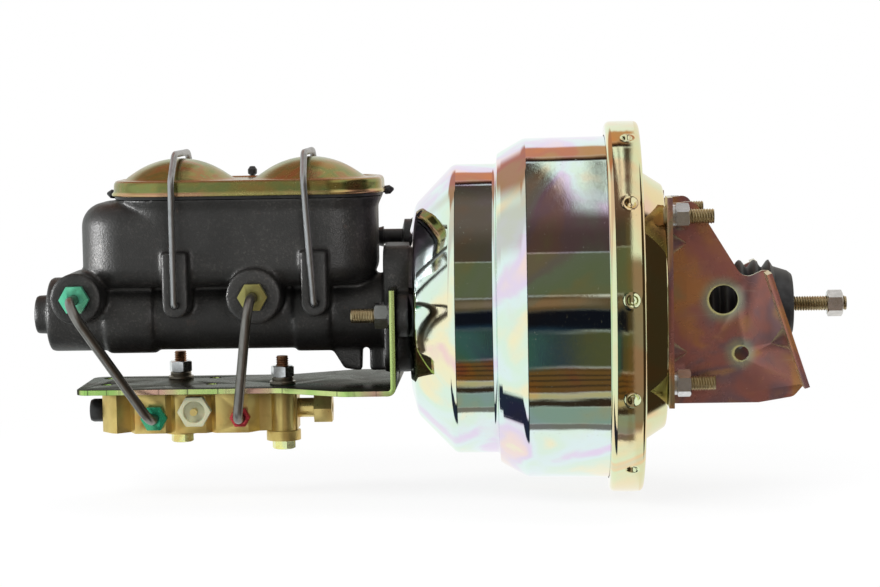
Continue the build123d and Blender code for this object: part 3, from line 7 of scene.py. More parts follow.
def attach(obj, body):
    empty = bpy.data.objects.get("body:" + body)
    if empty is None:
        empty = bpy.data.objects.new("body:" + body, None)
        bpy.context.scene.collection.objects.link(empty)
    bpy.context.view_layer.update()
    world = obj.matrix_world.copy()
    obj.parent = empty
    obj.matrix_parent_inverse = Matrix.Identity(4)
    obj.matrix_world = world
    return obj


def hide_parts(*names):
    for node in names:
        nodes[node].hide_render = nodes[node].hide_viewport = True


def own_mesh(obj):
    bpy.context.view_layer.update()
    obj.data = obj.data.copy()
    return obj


# Lengths in the settings are millimetres in the part's own frame: +X to the pedal, +Z up, -Y to the ports
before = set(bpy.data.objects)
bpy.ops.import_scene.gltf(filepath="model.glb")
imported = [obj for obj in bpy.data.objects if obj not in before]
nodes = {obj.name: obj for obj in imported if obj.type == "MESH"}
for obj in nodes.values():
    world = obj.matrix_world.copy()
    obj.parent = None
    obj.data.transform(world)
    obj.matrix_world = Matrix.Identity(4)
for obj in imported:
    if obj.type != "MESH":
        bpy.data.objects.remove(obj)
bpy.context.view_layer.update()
mm = 0.001
rearX = -69.0
noseX = -224.0
boltPitch = 1.41
studPitch = 1.59


# One value in a material's node tree, with arithmetic that adds Math nodes
class Field:
    def __init__(self, tree, socket):
        self.tree = tree
        self.socket = socket

    def math(self, operation, *others):
        node = self.tree.nodes.new("ShaderNodeMath")
        node.operation = operation
        for slot, value in zip(node.inputs, (self,) + others):
            if isinstance(value, Field):
                self.tree.links.new(value.socket, slot)
            else:
                slot.default_value = value
        return Field(self.tree, node.outputs[0])

    def __add__(self, other):
        return self.math("ADD", other)

    def __sub__(self, other):
        return self.math("SUBTRACT", other)

    def __mul__(self, other):
        return self.math("MULTIPLY", other)

    def __radd__(self, other):
        return self.math("ADD", other)

    def __rsub__(self, other):
        return self.math("MULTIPLY", -1.0).math("ADD", other)

    def __rmul__(self, other):
        return self.math("MULTIPLY", other)

    def smooth(self, low, high):
        node = self.tree.nodes.new("ShaderNodeMapRange")
        node.interpolation_type = "SMOOTHSTEP"
        node.inputs["From Min"].default_value = low
        node.inputs["From Max"].default_value = high
        self.tree.links.new(self.socket, node.inputs["Value"])
        return Field(self.tree, node.outputs["Result"])

    # 1 between two values, with soft edges
    def between(self, low, high, soft):
        rise = self.smooth(low - soft, low + soft)
        return rise * (1.0 - self.smooth(high - soft, high + soft))


# A material under construction, with object coordinates in metres
class Skin:
    def __init__(self, name):
        self.material = bpy.data.materials.new(name)
        self.material.use_nodes = True
        self.tree = self.material.node_tree
        self.shader = self.tree.nodes["Principled BSDF"]
        self.place = self.node("ShaderNodeTexCoord", "Object")

    def node(self, kind, output=0, inputs=None, **settings):
        node = self.tree.nodes.new(kind)
        for key, value in settings.items():
            setattr(node, key, value)
        for key, value in (inputs or {}).items():
            if isinstance(value, Field):
                self.tree.links.new(value.socket, node.inputs[key])
            else:
                node.inputs[key].default_value = value
        return Field(self.tree, node.outputs[output])

    # The three numbers of a vector
    def parts(self, vector):
        node = self.tree.nodes.new("ShaderNodeSeparateXYZ")
        self.tree.links.new(vector.socket, node.inputs[0])
        return [Field(self.tree, socket) for socket in node.outputs]

    def stretched(self, scale):
        return self.node("ShaderNodeMapping", 0, {"Vector": self.place, "Scale": scale})

    def noise(self, scale, detail=3.0, roughness=0.5, distortion=0.0, stretch=None):
        where = self.stretched(stretch) if stretch else self.place
        return self.node(
            "ShaderNodeTexNoise",
            0,
            {"Vector": where, "Scale": scale, "Detail": detail, "Roughness": roughness, "Distortion": distortion},
        )

    def ramp(self, field, stops):
        node = self.tree.nodes.new("ShaderNodeValToRGB")
        node.color_ramp.interpolation = "EASE"
        elements = node.color_ramp.elements
        while len(elements) < len(stops):
            elements.new(0.5)
        for element, (position, colour) in zip(elements, stops):
            element.position = position
            element.color = (*colour, 1.0)
        self.tree.links.new(field.socket, node.inputs[0])
        return Field(self.tree, node.outputs[0])

    def mix(self, factor, first, second):
        node = self.tree.nodes.new("ShaderNodeMix")
        node.data_type = "RGBA"
        for slot, value in ((node.inputs[0], factor), (node.inputs[6], first), (node.inputs[7], second)):
            if isinstance(value, Field):
                self.tree.links.new(value.socket, slot)
            elif isinstance(value, tuple):
                slot.default_value = (*value, 1.0)
            else:
                slot.default_value = value
        return Field(self.tree, node.outputs[2])

    def set(self, **sockets):
        for key, value in sockets.items():
            slot = self.shader.inputs[key.replace("_", " ")]
            if isinstance(value, Field):
                self.tree.links.new(value.socket, slot)
            elif isinstance(value, tuple):
                slot.default_value = (*value, 1.0)
            else:
                slot.default_value = value
        return self

    def bump(self, height, distance, strength=1.0):
        normal = self.node(
            "ShaderNodeBump", 0, {"Height": height, "Distance": distance * mm, "Strength": strength}
        )
        self.tree.links.new(normal.socket, self.shader.inputs["Normal"])
        return self


# Yellow zinc plating: a mirror-like metal whose film drifts between gold, pink, lilac and mint
def zincSkin(name, settings, extra=None):
    skin = Skin(name)
    drift = skin.noise(settings["driftScale"], 2.0, 0.5, 0.8, settings.get("stretch"))
    cloud = skin.noise(settings["driftScale"] * 3.1, 3.0, 0.55, 0.4)
    film = (drift - 0.5) * settings["driftGain"] + (cloud - 0.5) * settings["cloudGain"] + 0.5
    colour = skin.ramp(film, settings["film"])
    smear = skin.noise(55.0, 5.0, 0.65, 0.6)
    grain = skin.noise(1500.0, 2.0, 0.5)
    speck = skin.noise(1300.0, 1.0).smooth(0.74, 0.80)
    streak = skin.noise(210.0, 3.0, 0.6, 0.3, (0.12, 1.0, 1.6)).smooth(0.66, 0.74)
    colour = skin.mix((smear.smooth(0.5, 0.75)) * 0.22, colour, settings["dull"])
    if extra:
        colour = extra(skin, colour)
    skin.set(
        Base_Color=skin.mix(speck * 0.35 + streak * settings["scratch"], colour, (0.72, 0.70, 0.62)),
        Metallic=settings["metal"],
        Specular_Tint=settings.get("graze", (1.0, 1.0, 1.0)),
        Roughness=smear.smooth(0.35, 0.8) * settings["smearRough"] + speck * 0.2 + settings["rough"],
    )
    skin.bump(grain * 0.25 + smear * 0.5 + speck * 0.3, settings["bump"], 0.35)
    return skin.material


# How much a face looks along Y, 0 to 1
def facingY(skin):
    return skin.parts(skin.node("ShaderNodeTexCoord", "Normal"))[1].math("ABSOLUTE")


# Distance in metres from a line along Y through (x, z)
def fromHole(skin, x, z):
    along, _, up = skin.parts(skin.place)
    across, rise = along - x, up - z
    return (across * across + rise * rise).math("SQRT")


# Rose plating of the side plates turns green and gold round the holes; faces that do not look along Y, the cut edges,
# bends and flanges, are painted pale gold, a painted highlight
def bracketFilmAndHighlight(skin, colour):
    for x, z, radius in ((-0.0352, 0.0064, 0.0087), (-0.0250, -0.0261, 0.0044)):
        away = fromHole(skin, x, z)
        colour = skin.mix((1.0 - away.smooth(radius, radius + 0.0075)) * 0.75, colour, (0.25, 0.29, 0.20))
        colour = skin.mix(1.0 - away.smooth(radius, radius + 0.0013), colour, (0.62, 0.60, 0.28))
    # Painted highlight: pale gold on every face turned away from Y
    edge = 1.0 - facingY(skin).smooth(0.35, 0.75)
    return skin.mix(edge * 0.7, colour, (0.62, 0.58, 0.34))


# The bead round the lid is painted in copper and gold patches, a painted highlight; a red-brown band near the top takes
# in the crown of the skirt and the flat ledge
def lidBeadHighlightAndRidge(skin, colour):
    rise = skin.parts(skin.place)[2]
    patch = skin.noise(26.0, 2.0, 0.5, 0.4).smooth(0.40, 0.60)
    bead = skin.mix(patch, (0.62, 0.36, 0.22), (0.52, 0.46, 0.17))
    # Painted highlight along the bead
    colour = skin.mix(rise.between(0.0734, 0.0762, 0.0006) * 0.85, colour, bead)
    return skin.mix(rise.between(0.0822, 0.0836, 0.0004) * 0.6, colour, (0.42, 0.20, 0.09))


# The sheared front edge of the valve's plate is green and pink with dark ticks
def plateFilm(skin, colour):
    shear = skin.noise(260.0, 4.0, 0.7, 0.0, (1.0, 0.02, 0.02))
    blush = skin.noise(30.0, 2.0, 0.5, 0.0, (1.0, 0.05, 0.05))
    lively = skin.ramp(blush, [(0.34, (0.30, 0.56, 0.14)), (0.48, (0.55, 0.66, 0.26)), (0.62, (0.62, 0.38, 0.30)),
                               (0.72, (0.30, 0.52, 0.18))])
    ticked = skin.mix(shear.smooth(0.56, 0.66) * 0.8, lively, (0.05, 0.05, 0.03))
    return skin.mix(facingY(skin).smooth(0.6, 0.85), colour, ticked)


pastelFilm = [
    (0.06, (0.90, 0.60, 0.66)), (0.24, (0.92, 0.84, 0.58)), (0.40, (0.73, 0.87, 0.75)), (0.54, (0.75, 0.87, 0.87)),
    (0.68, (0.80, 0.68, 0.86)), (0.82, (0.92, 0.72, 0.70)), (0.95, (0.90, 0.88, 0.62)),
]
goldFilm = [
    (0.12, (0.84, 0.58, 0.52)), (0.32, (0.86, 0.74, 0.44)), (0.50, (0.74, 0.80, 0.52)), (0.66, (0.84, 0.66, 0.40)),
    (0.86, (0.62, 0.74, 0.56)),
]
roseFilm = [
    (0.08, (0.24, 0.18, 0.09)), (0.28, (0.36, 0.16, 0.06)), (0.46, (0.28, 0.11, 0.090)), (0.62, (0.19, 0.105, 0.11)),
    (0.78, (0.30, 0.16, 0.09)), (0.92, (0.19, 0.20, 0.115)),
]
oliveFilm = [
    (0.15, (0.050, 0.050, 0.032)), (0.35, (0.066, 0.056, 0.040)), (0.52, (0.056, 0.064, 0.040)),
    (0.70, (0.075, 0.050, 0.042)), (0.88, (0.026, 0.060, 0.036)),
]
lidFilm = [
    (0.12, (0.34, 0.22, 0.07)), (0.32, (0.27, 0.24, 0.075)), (0.50, (0.22, 0.245, 0.085)), (0.66, (0.30, 0.25, 0.09)),
    (0.80, (0.34, 0.19, 0.08)), (0.92, (0.24, 0.28, 0.11)),
]
boltFilm = [(0.2, (0.78, 0.62, 0.22)), (0.5, (0.86, 0.84, 0.34)), (0.8, (0.72, 0.78, 0.42))]
shellZinc = zincSkin("shellZinc", dict(
    film=pastelFilm, driftScale=12.0, driftGain=2.1, cloudGain=0.4, dull=(0.80, 0.76, 0.68), rough=0.018,
    smearRough=0.03, bump=0.05, metal=1.0, scratch=0.12,
))
bandZinc = zincSkin("bandZinc", dict(
    film=goldFilm, driftScale=13.0, driftGain=1.7, cloudGain=0.3, dull=(0.72, 0.64, 0.44), rough=0.035, smearRough=0.05,
    bump=0.06, metal=1.0, scratch=0.10,
))
bracketZinc = zincSkin("bracketZinc", dict(
    film=roseFilm, driftScale=21.0, driftGain=1.7, cloudGain=0.35, dull=(0.24, 0.18, 0.14), rough=0.22, smearRough=0.12,
    bump=0.06, metal=0.66, scratch=0.12,
), bracketFilmAndHighlight)
plateZinc = zincSkin("plateZinc", dict(
    film=oliveFilm, driftScale=15.0, driftGain=2.0, cloudGain=0.5, dull=(0.07, 0.065, 0.045), rough=0.24,
    smearRough=0.12, bump=0.06, metal=0.8, scratch=0.03, graze=(0.22, 0.22, 0.18),
), plateFilm)
lidZinc = zincSkin("lidZinc", dict(
    film=lidFilm, driftScale=30.0, driftGain=1.9, cloudGain=0.6, dull=(0.20, 0.18, 0.09), rough=0.19, smearRough=0.14,
    bump=0.08, metal=0.95, scratch=0.06,
), lidBeadHighlightAndRidge)
boltZinc = zincSkin("boltZinc", dict(
    film=boltFilm, driftScale=90.0, driftGain=1.6, cloudGain=0.6, dull=(0.62, 0.56, 0.36), rough=0.18, smearRough=0.10,
    bump=0.05, metal=0.9, scratch=0.05,
))


# Bare or clear-plated steel with fine drawing lines
def steelSkin(name, colour, rough, lines, stain=(0.30, 0.27, 0.22), stainAmount=0.25, bump=0.05):
    skin = Skin(name)
    drawn = skin.noise(260.0, 3.0, 0.6, 0.0, lines)
    cloud = skin.noise(70.0, 4.0, 0.6, 0.4)
    tone = skin.mix(drawn.smooth(0.3, 0.75) * 0.5, colour, tuple(0.6 * part for part in colour))
    skin.set(
        Base_Color=skin.mix(cloud.smooth(0.52, 0.72) * stainAmount, tone, stain),
        Metallic=1.0,
        Roughness=cloud * 0.18 + drawn * 0.12 + rough,
    )
    skin.bump(drawn * 0.6 + cloud * 0.4, bump, 0.4)
    return skin.material


bailSteel = steelSkin("bailSteel", (0.46, 0.47, 0.49), 0.30, (1.0, 1.0, 0.08), (0.22, 0.23, 0.24), 0.5)
tubeSteel = steelSkin("tubeSteel", (0.27, 0.26, 0.25), 0.24, (1.0, 1.0, 0.15), (0.16, 0.14, 0.12), 0.4)
nutSteel = steelSkin("nutSteel", (0.70, 0.71, 0.74), 0.04, (1.0, 1.0, 1.0), (0.50, 0.46, 0.38), 0.35, 0.015)
washerSteel = steelSkin("washerSteel", (0.34, 0.31, 0.26), 0.20, (1.0, 1.0, 1.0), (0.20, 0.16, 0.11), 0.4, 0.02)
springSteel = steelSkin("springSteel", (0.30, 0.30, 0.31), 0.30, (1.0, 1.0, 1.0))
copperThread = steelSkin("copperThread", (0.42, 0.22, 0.12), 0.30, (1.0, 1.0, 1.0), (0.10, 0.07, 0.05), 0.5)
studSteel = steelSkin("studSteel", (0.60, 0.50, 0.31), 0.22, (1.0, 1.0, 1.0), (0.34, 0.26, 0.15), 0.35)
aluminiumSkin = steelSkin("aluminiumSkin", (0.70, 0.70, 0.70), 0.26, (1.0, 1.0, 1.0), (0.50, 0.50, 0.50), 0.2)


# Sand-cast iron under a thin dark coat: pebbled, with paler worn grains
def ironSkin(name):
    skin = Skin(name)
    pebble = skin.noise(620.0, 4.0, 0.62, 0.2)
    grit = skin.node("ShaderNodeTexVoronoi", 0, {"Vector": skin.place, "Scale": 900.0})
    broad = skin.noise(28.0, 3.0, 0.55, 0.5)
    lump = skin.noise(150.0, 3.0, 0.5)
    worn = (pebble.smooth(0.50, 0.72)) * (broad.smooth(0.40, 0.68) * 0.75 + 0.25)
    coat = skin.mix(broad.smooth(0.35, 0.7), (0.0065, 0.0062, 0.006), (0.014, 0.013, 0.012))
    rust = skin.noise(95.0, 4.0, 0.6, 0.8).smooth(0.64, 0.74)
    aged = skin.mix(rust * 0.5, coat, (0.045, 0.024, 0.016))
    skin.set(
        Base_Color=skin.mix(worn * 0.6, aged, (0.085, 0.079, 0.073)),
        Metallic=worn * 0.35 + 0.15,
        Roughness=0.46 - worn * 0.14 + (lump - 0.5) * 0.12,
    )
    skin.bump(pebble * 0.8 + grit * 0.5 + lump * 0.9, 0.35, 0.55)
    return skin.material


ironCast = ironSkin("ironCast")


def machinedSkin(name, colour, dark, rough=0.24, stretch=(1.0, 1.0, 0.05), warm=None):
    skin = Skin(name)
    cut = skin.noise(420.0, 2.0, 0.6, 0.0, stretch)
    patina = skin.noise(48.0, 5.0, 0.62, 0.7)
    spots = skin.noise(210.0, 3.0, 0.5).smooth(0.66, 0.76)
    tone = skin.mix(patina.smooth(0.42, 0.74) * 0.65, colour, dark)
    if warm:
        blush = skin.noise(33.0, 2.0, 0.5, 0.5).smooth(0.56, 0.70)
        tone = skin.mix(blush * 0.45, tone, warm)
    skin.set(
        Base_Color=skin.mix(spots * 0.4, tone, dark),
        Metallic=0.82,
        Roughness=cut * 0.16 + patina * 0.14 + rough - 0.08,
    )
    skin.bump(cut * 0.8 + patina * 0.3, 0.06, 0.5)
    return skin.material


brassBody = machinedSkin("brassBody", (0.69, 0.53, 0.19), (0.47, 0.34, 0.10), 0.27, (1.0, 1.0, 0.04),
                         (0.66, 0.30, 0.06))
brassTurned = machinedSkin("brassTurned", (0.71, 0.55, 0.21), (0.49, 0.36, 0.12), 0.24, (1.0, 0.1, 1.0))
mintNut = machinedSkin("mintNut", (0.16, 0.66, 0.42), (0.05, 0.36, 0.22), 0.24, (1.0, 1.0, 1.0), (0.50, 0.74, 0.52))
greenNut = machinedSkin("greenNut", (0.03, 0.36, 0.20), (0.012, 0.16, 0.09), 0.20, (1.0, 1.0, 1.0), (0.16, 0.44, 0.22))
oldBrass = machinedSkin("oldBrass", (0.34, 0.31, 0.11), (0.17, 0.16, 0.06), 0.28, (1.0, 1.0, 1.0), (0.16, 0.24, 0.10))
redNut = machinedSkin("redNut", (0.44, 0.045, 0.055), (0.22, 0.02, 0.025), 0.20, (1.0, 1.0, 1.0), (0.50, 0.16, 0.10))


def softSkin(name, colour, dusty, rough, scale=500.0, bump=0.08, coat=0.0):
    skin = Skin(name)
    fine = skin.noise(scale, 4.0, 0.6)
    haze = skin.noise(60.0, 4.0, 0.6, 0.4)
    skin.set(
        Base_Color=skin.mix(haze.smooth(0.45, 0.75) * 0.7, colour, dusty),
        Roughness=haze * 0.2 + rough - 0.1,
        Coat_Weight=coat,
    )
    skin.bump(fine * 0.8 + haze * 0.4, bump, 0.5)
    return skin.material


bootRubber = softSkin("bootRubber", (0.014, 0.014, 0.015), (0.045, 0.045, 0.046), 0.52)
capRubber = softSkin("capRubber", (0.010, 0.010, 0.011), (0.030, 0.030, 0.031), 0.38)
greyRubber = softSkin("greyRubber", (0.055, 0.055, 0.057), (0.10, 0.10, 0.10), 0.50)
blackNylon = softSkin("blackNylon", (0.018, 0.018, 0.019), (0.05, 0.05, 0.052), 0.40)
hubMoulding = softSkin("hubMoulding", (0.075, 0.062, 0.050), (0.12, 0.10, 0.08), 0.42)
filterFelt = softSkin("filterFelt", (0.42, 0.39, 0.32), (0.30, 0.27, 0.22), 0.85, 1200.0, 0.3)
ivoryNylon = softSkin("ivoryNylon", (0.47, 0.47, 0.31), (0.40, 0.37, 0.20), 0.36, 300.0, 0.05)
ivoryNylon.node_tree.nodes["Principled BSDF"].inputs["Subsurface Weight"].default_value = 0.15
ivoryNylon.node_tree.nodes["Principled BSDF"].inputs["Subsurface Scale"].default_value = 0.004
print("materials made")


def show(item):
    bpy.context.scene.collection.objects.link(item)
    return item


def finish(mesh, name, body, material, replaced=(), sharp=32.0):
    mesh.validate()
    mesh.shade_smooth()
    mesh.set_sharp_from_angle(angle=math.radians(sharp))
    piece = show(bpy.data.objects.new(name, mesh))
    mesh.materials.clear()
    mesh.materials.append(material)
    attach(piece, body)
    if replaced:
        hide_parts(*replaced)
    return piece


# Faces between rows of points; closed joins each row's ends
def gridFaces(rows, columns, closed=True, flip=False):
    faces = []
    for row in range(rows - 1):
        for column in range(columns if closed else columns - 1):
            after = (column + 1) % columns
            a, b = row * columns + column, row * columns + after
            c, d = (row + 1) * columns + after, (row + 1) * columns + column
            faces.append((a, d, c, b) if flip else (a, b, c, d))
    return faces


# Corners of an outline rounded to arcs; radii match the inner points
def rounded(points, radii, steps=7):
    points = [Vector(point) for point in points]
    line = [points[0]]
    for index in range(1, len(points) - 1):
        before, corner, after = points[index - 1], points[index], points[index + 1]
        toBefore, toAfter = (before - corner).normalized(), (after - corner).normalized()
        half = toBefore.angle(toAfter) / 2
        radius = radii[index - 1] if isinstance(radii, (list, tuple)) else radii
        if radius <= 0 or half > math.pi / 2 - 0.01:
            line.append(corner)
            continue
        reach = radius / math.tan(half)
        centre = corner + (toBefore + toAfter).normalized() * (radius / math.sin(half))
        start, end = corner + toBefore * reach - centre, corner + toAfter * reach - centre
        sweep = start.angle(end)
        for step in range(steps + 1):
            share = step / steps
            a, b = math.sin((1 - share) * sweep), math.sin(share * sweep)
            line.append(centre + (start * a + end * b) / math.sin(sweep))
    line.append(points[-1])
    return line


def fixNormals(mesh):
    work = bmesh.new()
    work.from_mesh(mesh)
    bmesh.ops.remove_doubles(work, verts=work.verts, dist=1e-7)
    bmesh.ops.recalc_face_normals(work, faces=work.faces)
    work.to_mesh(mesh)
    work.free()


def meshOf(name, points, faces):
    mesh = bpy.data.meshes.new(name)
    mesh.from_pydata(points, [], faces)
    fixNormals(mesh)
    return mesh


# The mesh that an object's modifiers give
def baked(piece):
    bpy.context.view_layer.update()
    return bpy.data.meshes.new_from_object(piece.evaluated_get(bpy.context.evaluated_depsgraph_get()))


# Turned piece: a closed outline of (place along X, radius) spun round the X axis
def lathe(name, outline, body, material, replaced, sides, shape=None, sharp=32.0):
    along, side, other = Vector((1, 0, 0)), Vector((0, -1, 0)), Vector((0, 0, 1))
    points = []
    for distance, radius in outline:
        for turn in range(sides):
            place = (distance, radius, 2 * math.pi * turn / sides)
            reach, out, angle = shape(*place) if shape else place
            points.append((along * reach + (side * math.cos(angle) + other * math.sin(angle)) * out) * mm)
    faces = gridFaces(len(outline), sides, flip=True)
    last = (len(outline) - 1) * sides
    faces += [(last + turn, turn, (turn + 1) % sides, last + (turn + 1) % sides) for turn in range(sides)]
    return finish(meshOf(name, points, faces), name, body, material, replaced, sharp)


# Round bar along a path of points
def bar(name, path, radius, body, material, replaced=(), sides=20):
    path = [Vector(point) for point in path]
    points = []
    side = None
    for index, point in enumerate(path):
        ahead = path[min(index + 1, len(path) - 1)] - path[max(index - 1, 0)]
        ahead.normalize()
        side = ahead.orthogonal() if side is None else side - ahead * side.dot(ahead)
        side.normalize()
        other = ahead.cross(side)
        for turn in range(sides):
            angle = 2 * math.pi * turn / sides
            points.append((point + (side * math.cos(angle) + other * math.sin(angle)) * radius) * mm)
    faces = gridFaces(len(path), sides)
    faces.append(tuple(range(sides)))
    faces.append(tuple(range(len(points) - sides, len(points))))
    return finish(meshOf(name, points, faces), name, body, material, replaced, 50.0)


# Several small solids gathered in one mesh, each a set of points and faces
class Gather:
    def __init__(self):
        self.points = []
        self.faces = []

    def add(self, points, faces):
        base = len(self.points)
        self.points += [tuple(Vector(point) * mm) for point in points]
        self.faces += [tuple(base + index for index in face) for face in faces]

    def turned(self, start, axis, outline, sides=48, shape=None):
        along = Vector(axis).normalized()
        side = along.orthogonal().normalized()
        other = along.cross(side)
        origin = Vector(start)
        points = []
        for distance, radius in outline:
            for turn in range(sides):
                angle = 2 * math.pi * turn / sides
                reach, out = shape(distance, radius, angle) if shape else (distance, radius)
                points.append(origin + along * reach + (side * math.cos(angle) + other * math.sin(angle)) * out)
        self.add(points, gridFaces(len(outline), sides))

    # Nut or bolt head with chamfered corners, from its seat along the axis
    def hexagon(self, start, axis, flats, height, bore=0.0, turn=0.0):
        half = flats / 2
        crown = half * 0.96
        flank, rim = -1, -2

        def shape(distance, radius, angle):
            if radius >= 0:
                return distance, radius
            if radius == rim:
                return distance, crown
            out = half / math.cos((angle + turn) % (math.pi / 3) - math.pi / 6)
            drop = (out - crown) * 0.55
            return (distance - drop if distance > height / 2 else distance + drop), out

        inner = max(bore, 0.001)
        countersink = 0.5 if bore else 0.0
        outline = [(0, inner), (0, rim), (0, flank), (height, flank), (height, rim), (height, inner + countersink),
                   (height - countersink, inner)]
        if bore:
            outline.append((0, inner))
        self.turned(start, axis, outline, 72, shape)

    # Threaded bar whose ridge climbs along it
    def thread(self, start, axis, radius, pitch, length):
        rows = max(int(length / pitch * 6), 8)
        depth = pitch * 0.42

        def shape(distance, out, angle):
            phase = (distance / pitch - angle / (2 * math.pi)) % 1.0
            tooth = min(abs(phase - 0.5) * 2.6, 1.0)
            end = min(length - distance, 1.0)
            limit = radius - depth * (1 - end)
            return distance, min(radius - depth * tooth, limit) if out else 0.001

        outline = [(length * row / rows, 1.0) for row in range(rows + 1)]
        self.turned(start, axis, [(0, 0.0)] + outline + [(length, 0.0)], 28, shape)

    def mesh(self, name):
        return meshOf(name, self.points, self.faces)

    def build(self, name, body, material, replaced=(), sharp=32.0):
        return finish(self.mesh(name), name, body, material, replaced, sharp)


# Geometry Nodes: copies of one fastener at marked spots, each turned by its spot's pose
def fastenerTree():
    tree = bpy.data.node_groups.new("setOutFasteners", "GeometryNodeTree")
    for label, kind in (("Spots", "Geometry"), ("Fastener", "Object"), ("Size", "Float"), ("Finish", "Material")):
        tree.interface.new_socket(label, in_out="INPUT", socket_type="NodeSocket" + kind)
    tree.interface.new_socket("Mesh", in_out="OUTPUT", socket_type="NodeSocketGeometry")

    def node(kind, inputs, **settings):
        made = tree.nodes.new(kind)
        for key, value in settings.items():
            setattr(made, key, value)
        for slot, value in inputs.items():
            if isinstance(value, bpy.types.NodeSocket):
                tree.links.new(value, made.inputs[slot])
            else:
                made.inputs[slot].default_value = value
        return made.outputs

    given = node("NodeGroupInput", {})
    part = node("GeometryNodeObjectInfo", {"Object": given["Fastener"]})["Geometry"]
    pose = node("GeometryNodeInputNamedAttribute", {"Name": "pose"}, data_type="QUATERNION")["Attribute"]
    copies = node("GeometryNodeInstanceOnPoints",
                  {"Points": given["Spots"], "Instance": part, "Rotation": pose, "Scale": given["Size"]})["Instances"]
    solid = node("GeometryNodeRealizeInstances", {"Geometry": copies})["Geometry"]
    coloured = node("GeometryNodeSetMaterial", {"Geometry": solid, "Material": given["Finish"]})["Geometry"]
    node("NodeGroupOutput", {"Mesh": coloured})
    return tree


fastenerNodes = fastenerTree()


# A fastener drawn along +X from the origin, set out at spots of (place, axis, turn)
def setOut(name, fastener, spots, material, replaced=()):
    part = bpy.data.objects.new(name + "Part", fastener.mesh(name + "Part"))
    marks = bpy.data.meshes.new(name + "Spots")
    marks.from_pydata([Vector(place) * mm for place, axis, turn in spots], [], [])
    pose = marks.attributes.new("pose", "QUATERNION", "POINT")
    for item, (place, axis, turn) in zip(pose.data, spots):
        item.value = Vector(axis).to_track_quat("X", "Z") @ Quaternion((1, 0, 0), turn)
    holder = bpy.data.objects.new(name + "Spots", marks)
    for made in (part, holder):
        show(made)
    repeat = holder.modifiers.new("setOut", "NODES")
    repeat.node_group = fastenerNodes
    for label, value in (("Fastener", part), ("Size", 1.0), ("Finish", material)):
        repeat[fastenerNodes.interface.items_tree[label].identifier] = value
    mesh = baked(holder)
    mesh.name = name
    for made in (holder, part):
        bpy.data.objects.remove(made)
    return finish(mesh, name, "housing", material, replaced)


# A CAD node's own solid with its edges eased
def dressed(name, node, body, material, bevel):
    mesh = nodes[node].data.copy()
    mesh.name = name
    work = bmesh.new()
    work.from_mesh(mesh)
    bmesh.ops.remove_doubles(work, verts=work.verts, dist=2e-6)
    bmesh.ops.dissolve_limit(work, angle_limit=math.radians(0.6), verts=work.verts, edges=work.edges)
    work.to_mesh(mesh)
    work.free()
    piece = finish(mesh, name, body, material, (node,), 30.0)
    if bevel:
        easing = piece.modifiers.new("ease", "BEVEL")
        easing.width = bevel * mm
        easing.segments = 2
        easing.limit_method = "ANGLE"
        easing.angle_limit = math.radians(28.0)
        easing.miter_outer = "MITER_ARC"
        eased = baked(piece)
        piece.modifiers.clear()
        piece.data = eased
        eased.shade_smooth()
        eased.set_sharp_from_angle(angle=math.radians(40.0))
    return piece


# Front shell of the booster: a polished pressing in two drums
frontShell = dict(
    wall=1.8,
    points=[(33.2, 112.0), (33.2, 105.2), (85.0, 104.6), (98.6, 97.0), (101.4, 95.2), (101.4, 89.3), (128.5, 89.3),
            (151.5, 65.5), (155.0, 52.0), (155.0, 23.0)],
    radii=[0.6, 7.0, 2.6, 1.4, 2.4, 5.5, 9.0, 7.0],
    pad=dict(y=42.0, z=43.0, depth=153.6, radius=13.0, blend=6.0),
)


def shellOutline(settings):
    outer = rounded([(rearX - depth, radius, 0) for depth, radius in settings["points"]], settings["radii"], 6)
    inner = []
    for index, point in enumerate(outer):
        run = outer[min(index + 1, len(outer) - 1)] - outer[max(index - 1, 0)]
        run.normalize()
        inner.append(point + Vector((-run.y, run.x, 0)) * settings["wall"])
    return [(p.x, p.y) for p in outer] + [(p.x, p.y) for p in reversed(inner)]


pad = frontShell["pad"]


def padShape(distance, radius, angle):
    place = Vector((-math.cos(angle) * radius, math.sin(angle) * radius))
    away = (place - Vector((pad["y"], pad["z"]))).length
    flat = rearX - pad["depth"]
    share = min(max((away - pad["radius"]) / pad["blend"], 0), 1)
    share = share * share * (3 - 2 * share)
    if distance > flat + 14:
        return distance, radius, angle
    return distance * share + flat * (1 - share), radius, angle


def denser(outline, low, high, step):
    line = [outline[0]]
    for before, after in zip(outline, outline[1:]):
        if low <= before[1] <= high and low <= after[1] <= high:
            parts = max(int(math.hypot(after[0] - before[0], after[1] - before[1]) / step), 1)
            line += [
                (before[0] + (after[0] - before[0]) * part / parts, before[1] + (after[1] - before[1]) * part / parts)
                for part in range(1, parts + 1)
            ]
        else:
            line.append(after)
    return line


# Rows close to both ends of each long run keep its shading flat
def held(outline, gap=0.3):
    line = [outline[0]]
    for before, after in zip(outline, outline[1:]):
        length = math.hypot(after[0] - before[0], after[1] - before[1])
        if length > 4 * gap:
            for part in (gap / length, 1 - gap / length):
                line.append((before[0] + (after[0] - before[0]) * part, before[1] + (after[1] - before[1]) * part))
        line.append(after)
    return line


boosterFront = lathe("boosterFront", denser(held(shellOutline(frontShell)), 22.0, 86.0, 1.1), "housing", shellZinc,
                     ("front_shell",), 288, padShape, 40.0)

# Rear shell: its rim is rolled over the front shell and staked all round
rearShell = dict(
    wall=1.8,
    points=[(-14.0, 24.0), (0.0, 24.0), (0.0, 74.5), (14.6, 84.0), (14.6, 114.4), (35.3, 114.4), (35.3, 106.0)],
    radii=[2.5, 3.0, 2.5, 3.0, 3.4],
)
stakes = dict(count=12, phase=6.5, depth=22.5, mouth=3.9, floor=1.5, sink=2.3, crown=0.22, middle=-24.9, half=9.0,
              rim=114.4, foot=111.0, lip=0.16)


